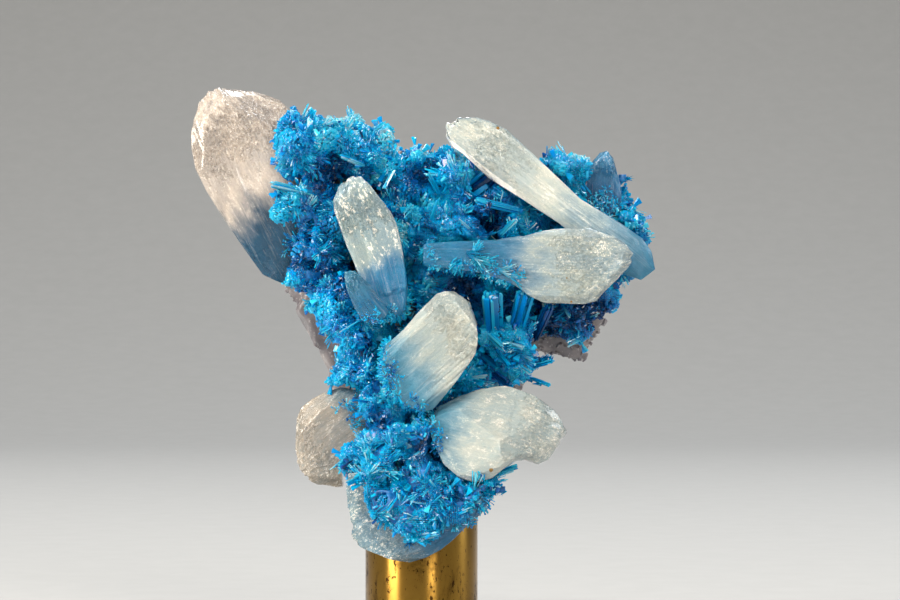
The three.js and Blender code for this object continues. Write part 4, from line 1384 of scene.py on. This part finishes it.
# Among them lie long fine sprays: root (x, z) in mm and the way they point in x and z.
SPRAYS = [
    (3.7, 33.7, 0.9, -0.4),
    (4.3, 33.3, 0.8, -0.6),
    (5.0, 33.0, 0.9, -0.3),
    (3.4, 33.2, -0.5, -0.5),
    (4.4, 33.7, 0.4, 0.8),
    (-0.2, 32.5, 1.0, 0.0),
    (1.2, 32.4, 1.0, -0.1),
    (2.4, 32.5, 0.9, 0.3),
    (6.4, 32.2, 0.9, -0.2),
    (7.2, 31.8, 0.9, -0.4),
]
SPRAY_RISE = 0.35
for x, z, way_x, way_z in SPRAYS:
    root = seen_from_front(sheaf_tree, x, z)
    if root:
        way = unit(numpy.array([[way_x, -SPRAY_RISE, way_z]]))
        grow(
            numpy.array([root]), way, blades=34, lean_of_all=10, spread=34, length=(0.5, 1.9),
            width=(0.05, 0.11), tint=(0.5, 0.95), buried=0.0,
        )

# All the blades are dealt out over a few meshes of at most so many triangles each.
BLADE_TRIANGLES = 8
MOST_TRIANGLES = 195000
loose = [numpy.concatenate(part) for part in zip(*grown_blades)]
loose.append(chance.normal(size=(len(loose[0]), 3)))
roots, axes, lengths, widths, depths, tints, facing, turned = [
    numpy.concatenate(pair) for pair in zip(loose, rosette_blades)
]
blue = blue_glass("cavansite_blades", clearness=0.25, soft=True)
parts = 1 + len(roots) * BLADE_TRIANGLES // MOST_TRIANGLES
blades = []
for part in range(parts):
    some = numpy.arange(part, len(roots), parts)
    piece = crystals_from(
        f"druse_blades_{part + 1}", roots[some], axes[some], lengths[some], widths[some], depths[some],
        tints[some], random=chance, rings=[(0.95, 1.0)], turned=turned[some], facing=facing[some],
    )
    piece.data.materials.append(blue)
    blades.append(piece)

# Standing out of the crust are larger bars of cavansite, each a sheaf of parallel blades with square,
# stepped ends: from (x, y, z) to (x, y, z), width in mm, how many fours of blades, and tint.
BARS = [
    ((-9.0, -5.6, 38.5), (-12.5, -7.6, 39.3), 0.42, 5, 0.85),
    ((-9.4, -5.4, 37.9), (-12.2, -7.4, 38.7), 0.36, 4, 0.65),
    ((-9.4, -5.2, 37.2), (-12.1, -7.2, 36.7), 0.34, 3, 0.95),
    ((8.2, -4.6, 37.2), (4.5, -6.9, 38.0), 0.46, 4, 0.55),
    ((3.4, -4.6, 39.0), (2.3, -6.2, 41.4), 0.26, 3, 0.75),
    ((3.4, -4.6, 39.0), (3.9, -6.2, 41.5), 0.24, 2, 0.85),
    ((1.6, -4.8, 38.6), (0.6, -6.4, 40.4), 0.24, 2, 0.7),
    ((5.4, -4.8, 34.6), (3.0, -7.6, 36.6), 0.16, 1, 1.0),
    ((3.4, -2.4, 38.4), (6.0, -3.0, 40.3), 0.9, 6, 0.05),
    ((5.2, -2.4, 37.4), (6.6, -3.0, 39.6), 0.9, 6, 0.05),
    ((5.2, -3.0, 24.8), (7.8, -4.6, 22.8), 0.9, 6, 0.2),
    ((6.2, -4.4, 26.8), (6.0, -7.2, 30.4), 0.8, 4, 0.42),
    ((7.8, -4.0, 26.8), (8.8, -6.8, 30.6), 0.8, 4, 0.6),
    ((9.6, -3.4, 26.4), (10.9, -5.2, 29.4), 0.6, 3, 0.08),
    ((5.6, -5.2, 26.8), (6.9, -7.4, 25.6), 0.3, 3, 0.7),
    ((6.8, -5.0, 26.4), (8.6, -7.2, 25.8), 0.3, 3, 0.85),
    ((7.4, -4.8, 25.6), (9.4, -6.8, 24.6), 0.3, 3, 0.65),
    ((6.2, -5.2, 25.6), (7.4, -7.4, 24.1), 0.3, 3, 0.55),
    ((7.6, -4.8, 24.8), (9.2, -6.6, 23.5), 0.26, 3, 0.9),
    ((-4.0, -7.2, 28.6), (-6.6, -9.4, 27.0), 0.22, 2, 0.9),
    ((9.4, -4.8, 24.2), (11.2, -6.2, 24.7), 0.26, 3, 0.6),
    ((9.2, -5.0, 23.2), (10.8, -6.2, 22.6), 0.26, 3, 0.7),
    ((-1.0, -10.8, 14.8), (-2.8, -12.9, 12.5), 0.26, 3, 0.8),
    ((-1.4, -11.0, 10.1), (1.5, -12.6, 10.8), 0.34, 4, 0.8),
    ((-4.0, -10.8, 15.6), (-6.0, -12.1, 14.7), 0.26, 3, 0.7),
    ((5.6, -8.6, 15.2), (8.0, -9.6, 16.0), 0.3, 3, 0.6),
    ((-4.8, -5.6, 41.0), (-6.6, -7.8, 41.6), 0.3, 3, 0.8),
    ((-2.2, -5.8, 40.6), (-3.0, -8.0, 39.0), 0.26, 3, 0.75),
    ((0.8, -6.2, 36.4), (1.5, -8.4, 38.2), 0.24, 2, 0.6),
    ((6.6, -5.8, 35.2), (7.8, -8.2, 36.4), 0.26, 3, 0.8),
]
# Many smaller ones stand scattered over the front of the crust, rooted so deep in it, in mm.
BAR_ROOT_DEPTH = 0.4
scattered = []
for foot, way in zip(bar_feet, bar_ways):
    if depth_inside(sheaf_tree, (foot + way) * MM) < 0:
        end = foot + way * chance.uniform(0.5, 1.3)
        width = chance.uniform(0.14, 0.30)
        scattered.append((foot - way * BAR_ROOT_DEPTH, end, width, 1, chance.uniform(0.3, 1.0)))
# A bar's blades lie this far off its middle line and are so wide, both in bar widths. They end up to so
# many mm short of it.
BAR_ASIDE = (0.2, 0.9)
BAR_BLADE_WIDTH = (0.3, 0.6)
BAR_STEP = 0.9
BAR_TINT_SCATTER = 0.22
starts, ends, wides, shades = [], [], [], []
for start, end, width, fours, tint in BARS + scattered:
    start, end = numpy.array(start), numpy.array(end)
    way = unit(end - start)
    for _ in range(fours * 4):
        aside = numpy.cross(way, unit(chance.normal(size=3))) * width * chance.uniform(*BAR_ASIDE)
        starts.append(start + aside)
        ends.append(end + aside * 1.2 - way * chance.random() ** 2 * BAR_STEP)
        wides.append(width * chance.uniform(*BAR_BLADE_WIDTH))
        shades.append(numpy.clip(tint + chance.normal(0, BAR_TINT_SCATTER), 0, 1))
starts, ends, wides = numpy.array(starts) * MM, numpy.array(ends) * MM, numpy.array(wides) * MM
bars = crystals_from(
    "druse_bars", starts, unit(ends - starts), numpy.linalg.norm(ends - starts, axis=1), wides, wides * 0.6,
    numpy.array(shades), random=chance, rings=[(0.05, 0.8), (0.5, 1.0), (0.97, 0.92)],
)
bars.data.materials.append(blue_glass("cavansite_bars", clearness=0.4, soft=False))
blades.append(bars)
bpy.data.objects.remove(druse_skin)
for piece in [crust, *blades]:
    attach(piece, "root")
    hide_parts("cavansite_druse")
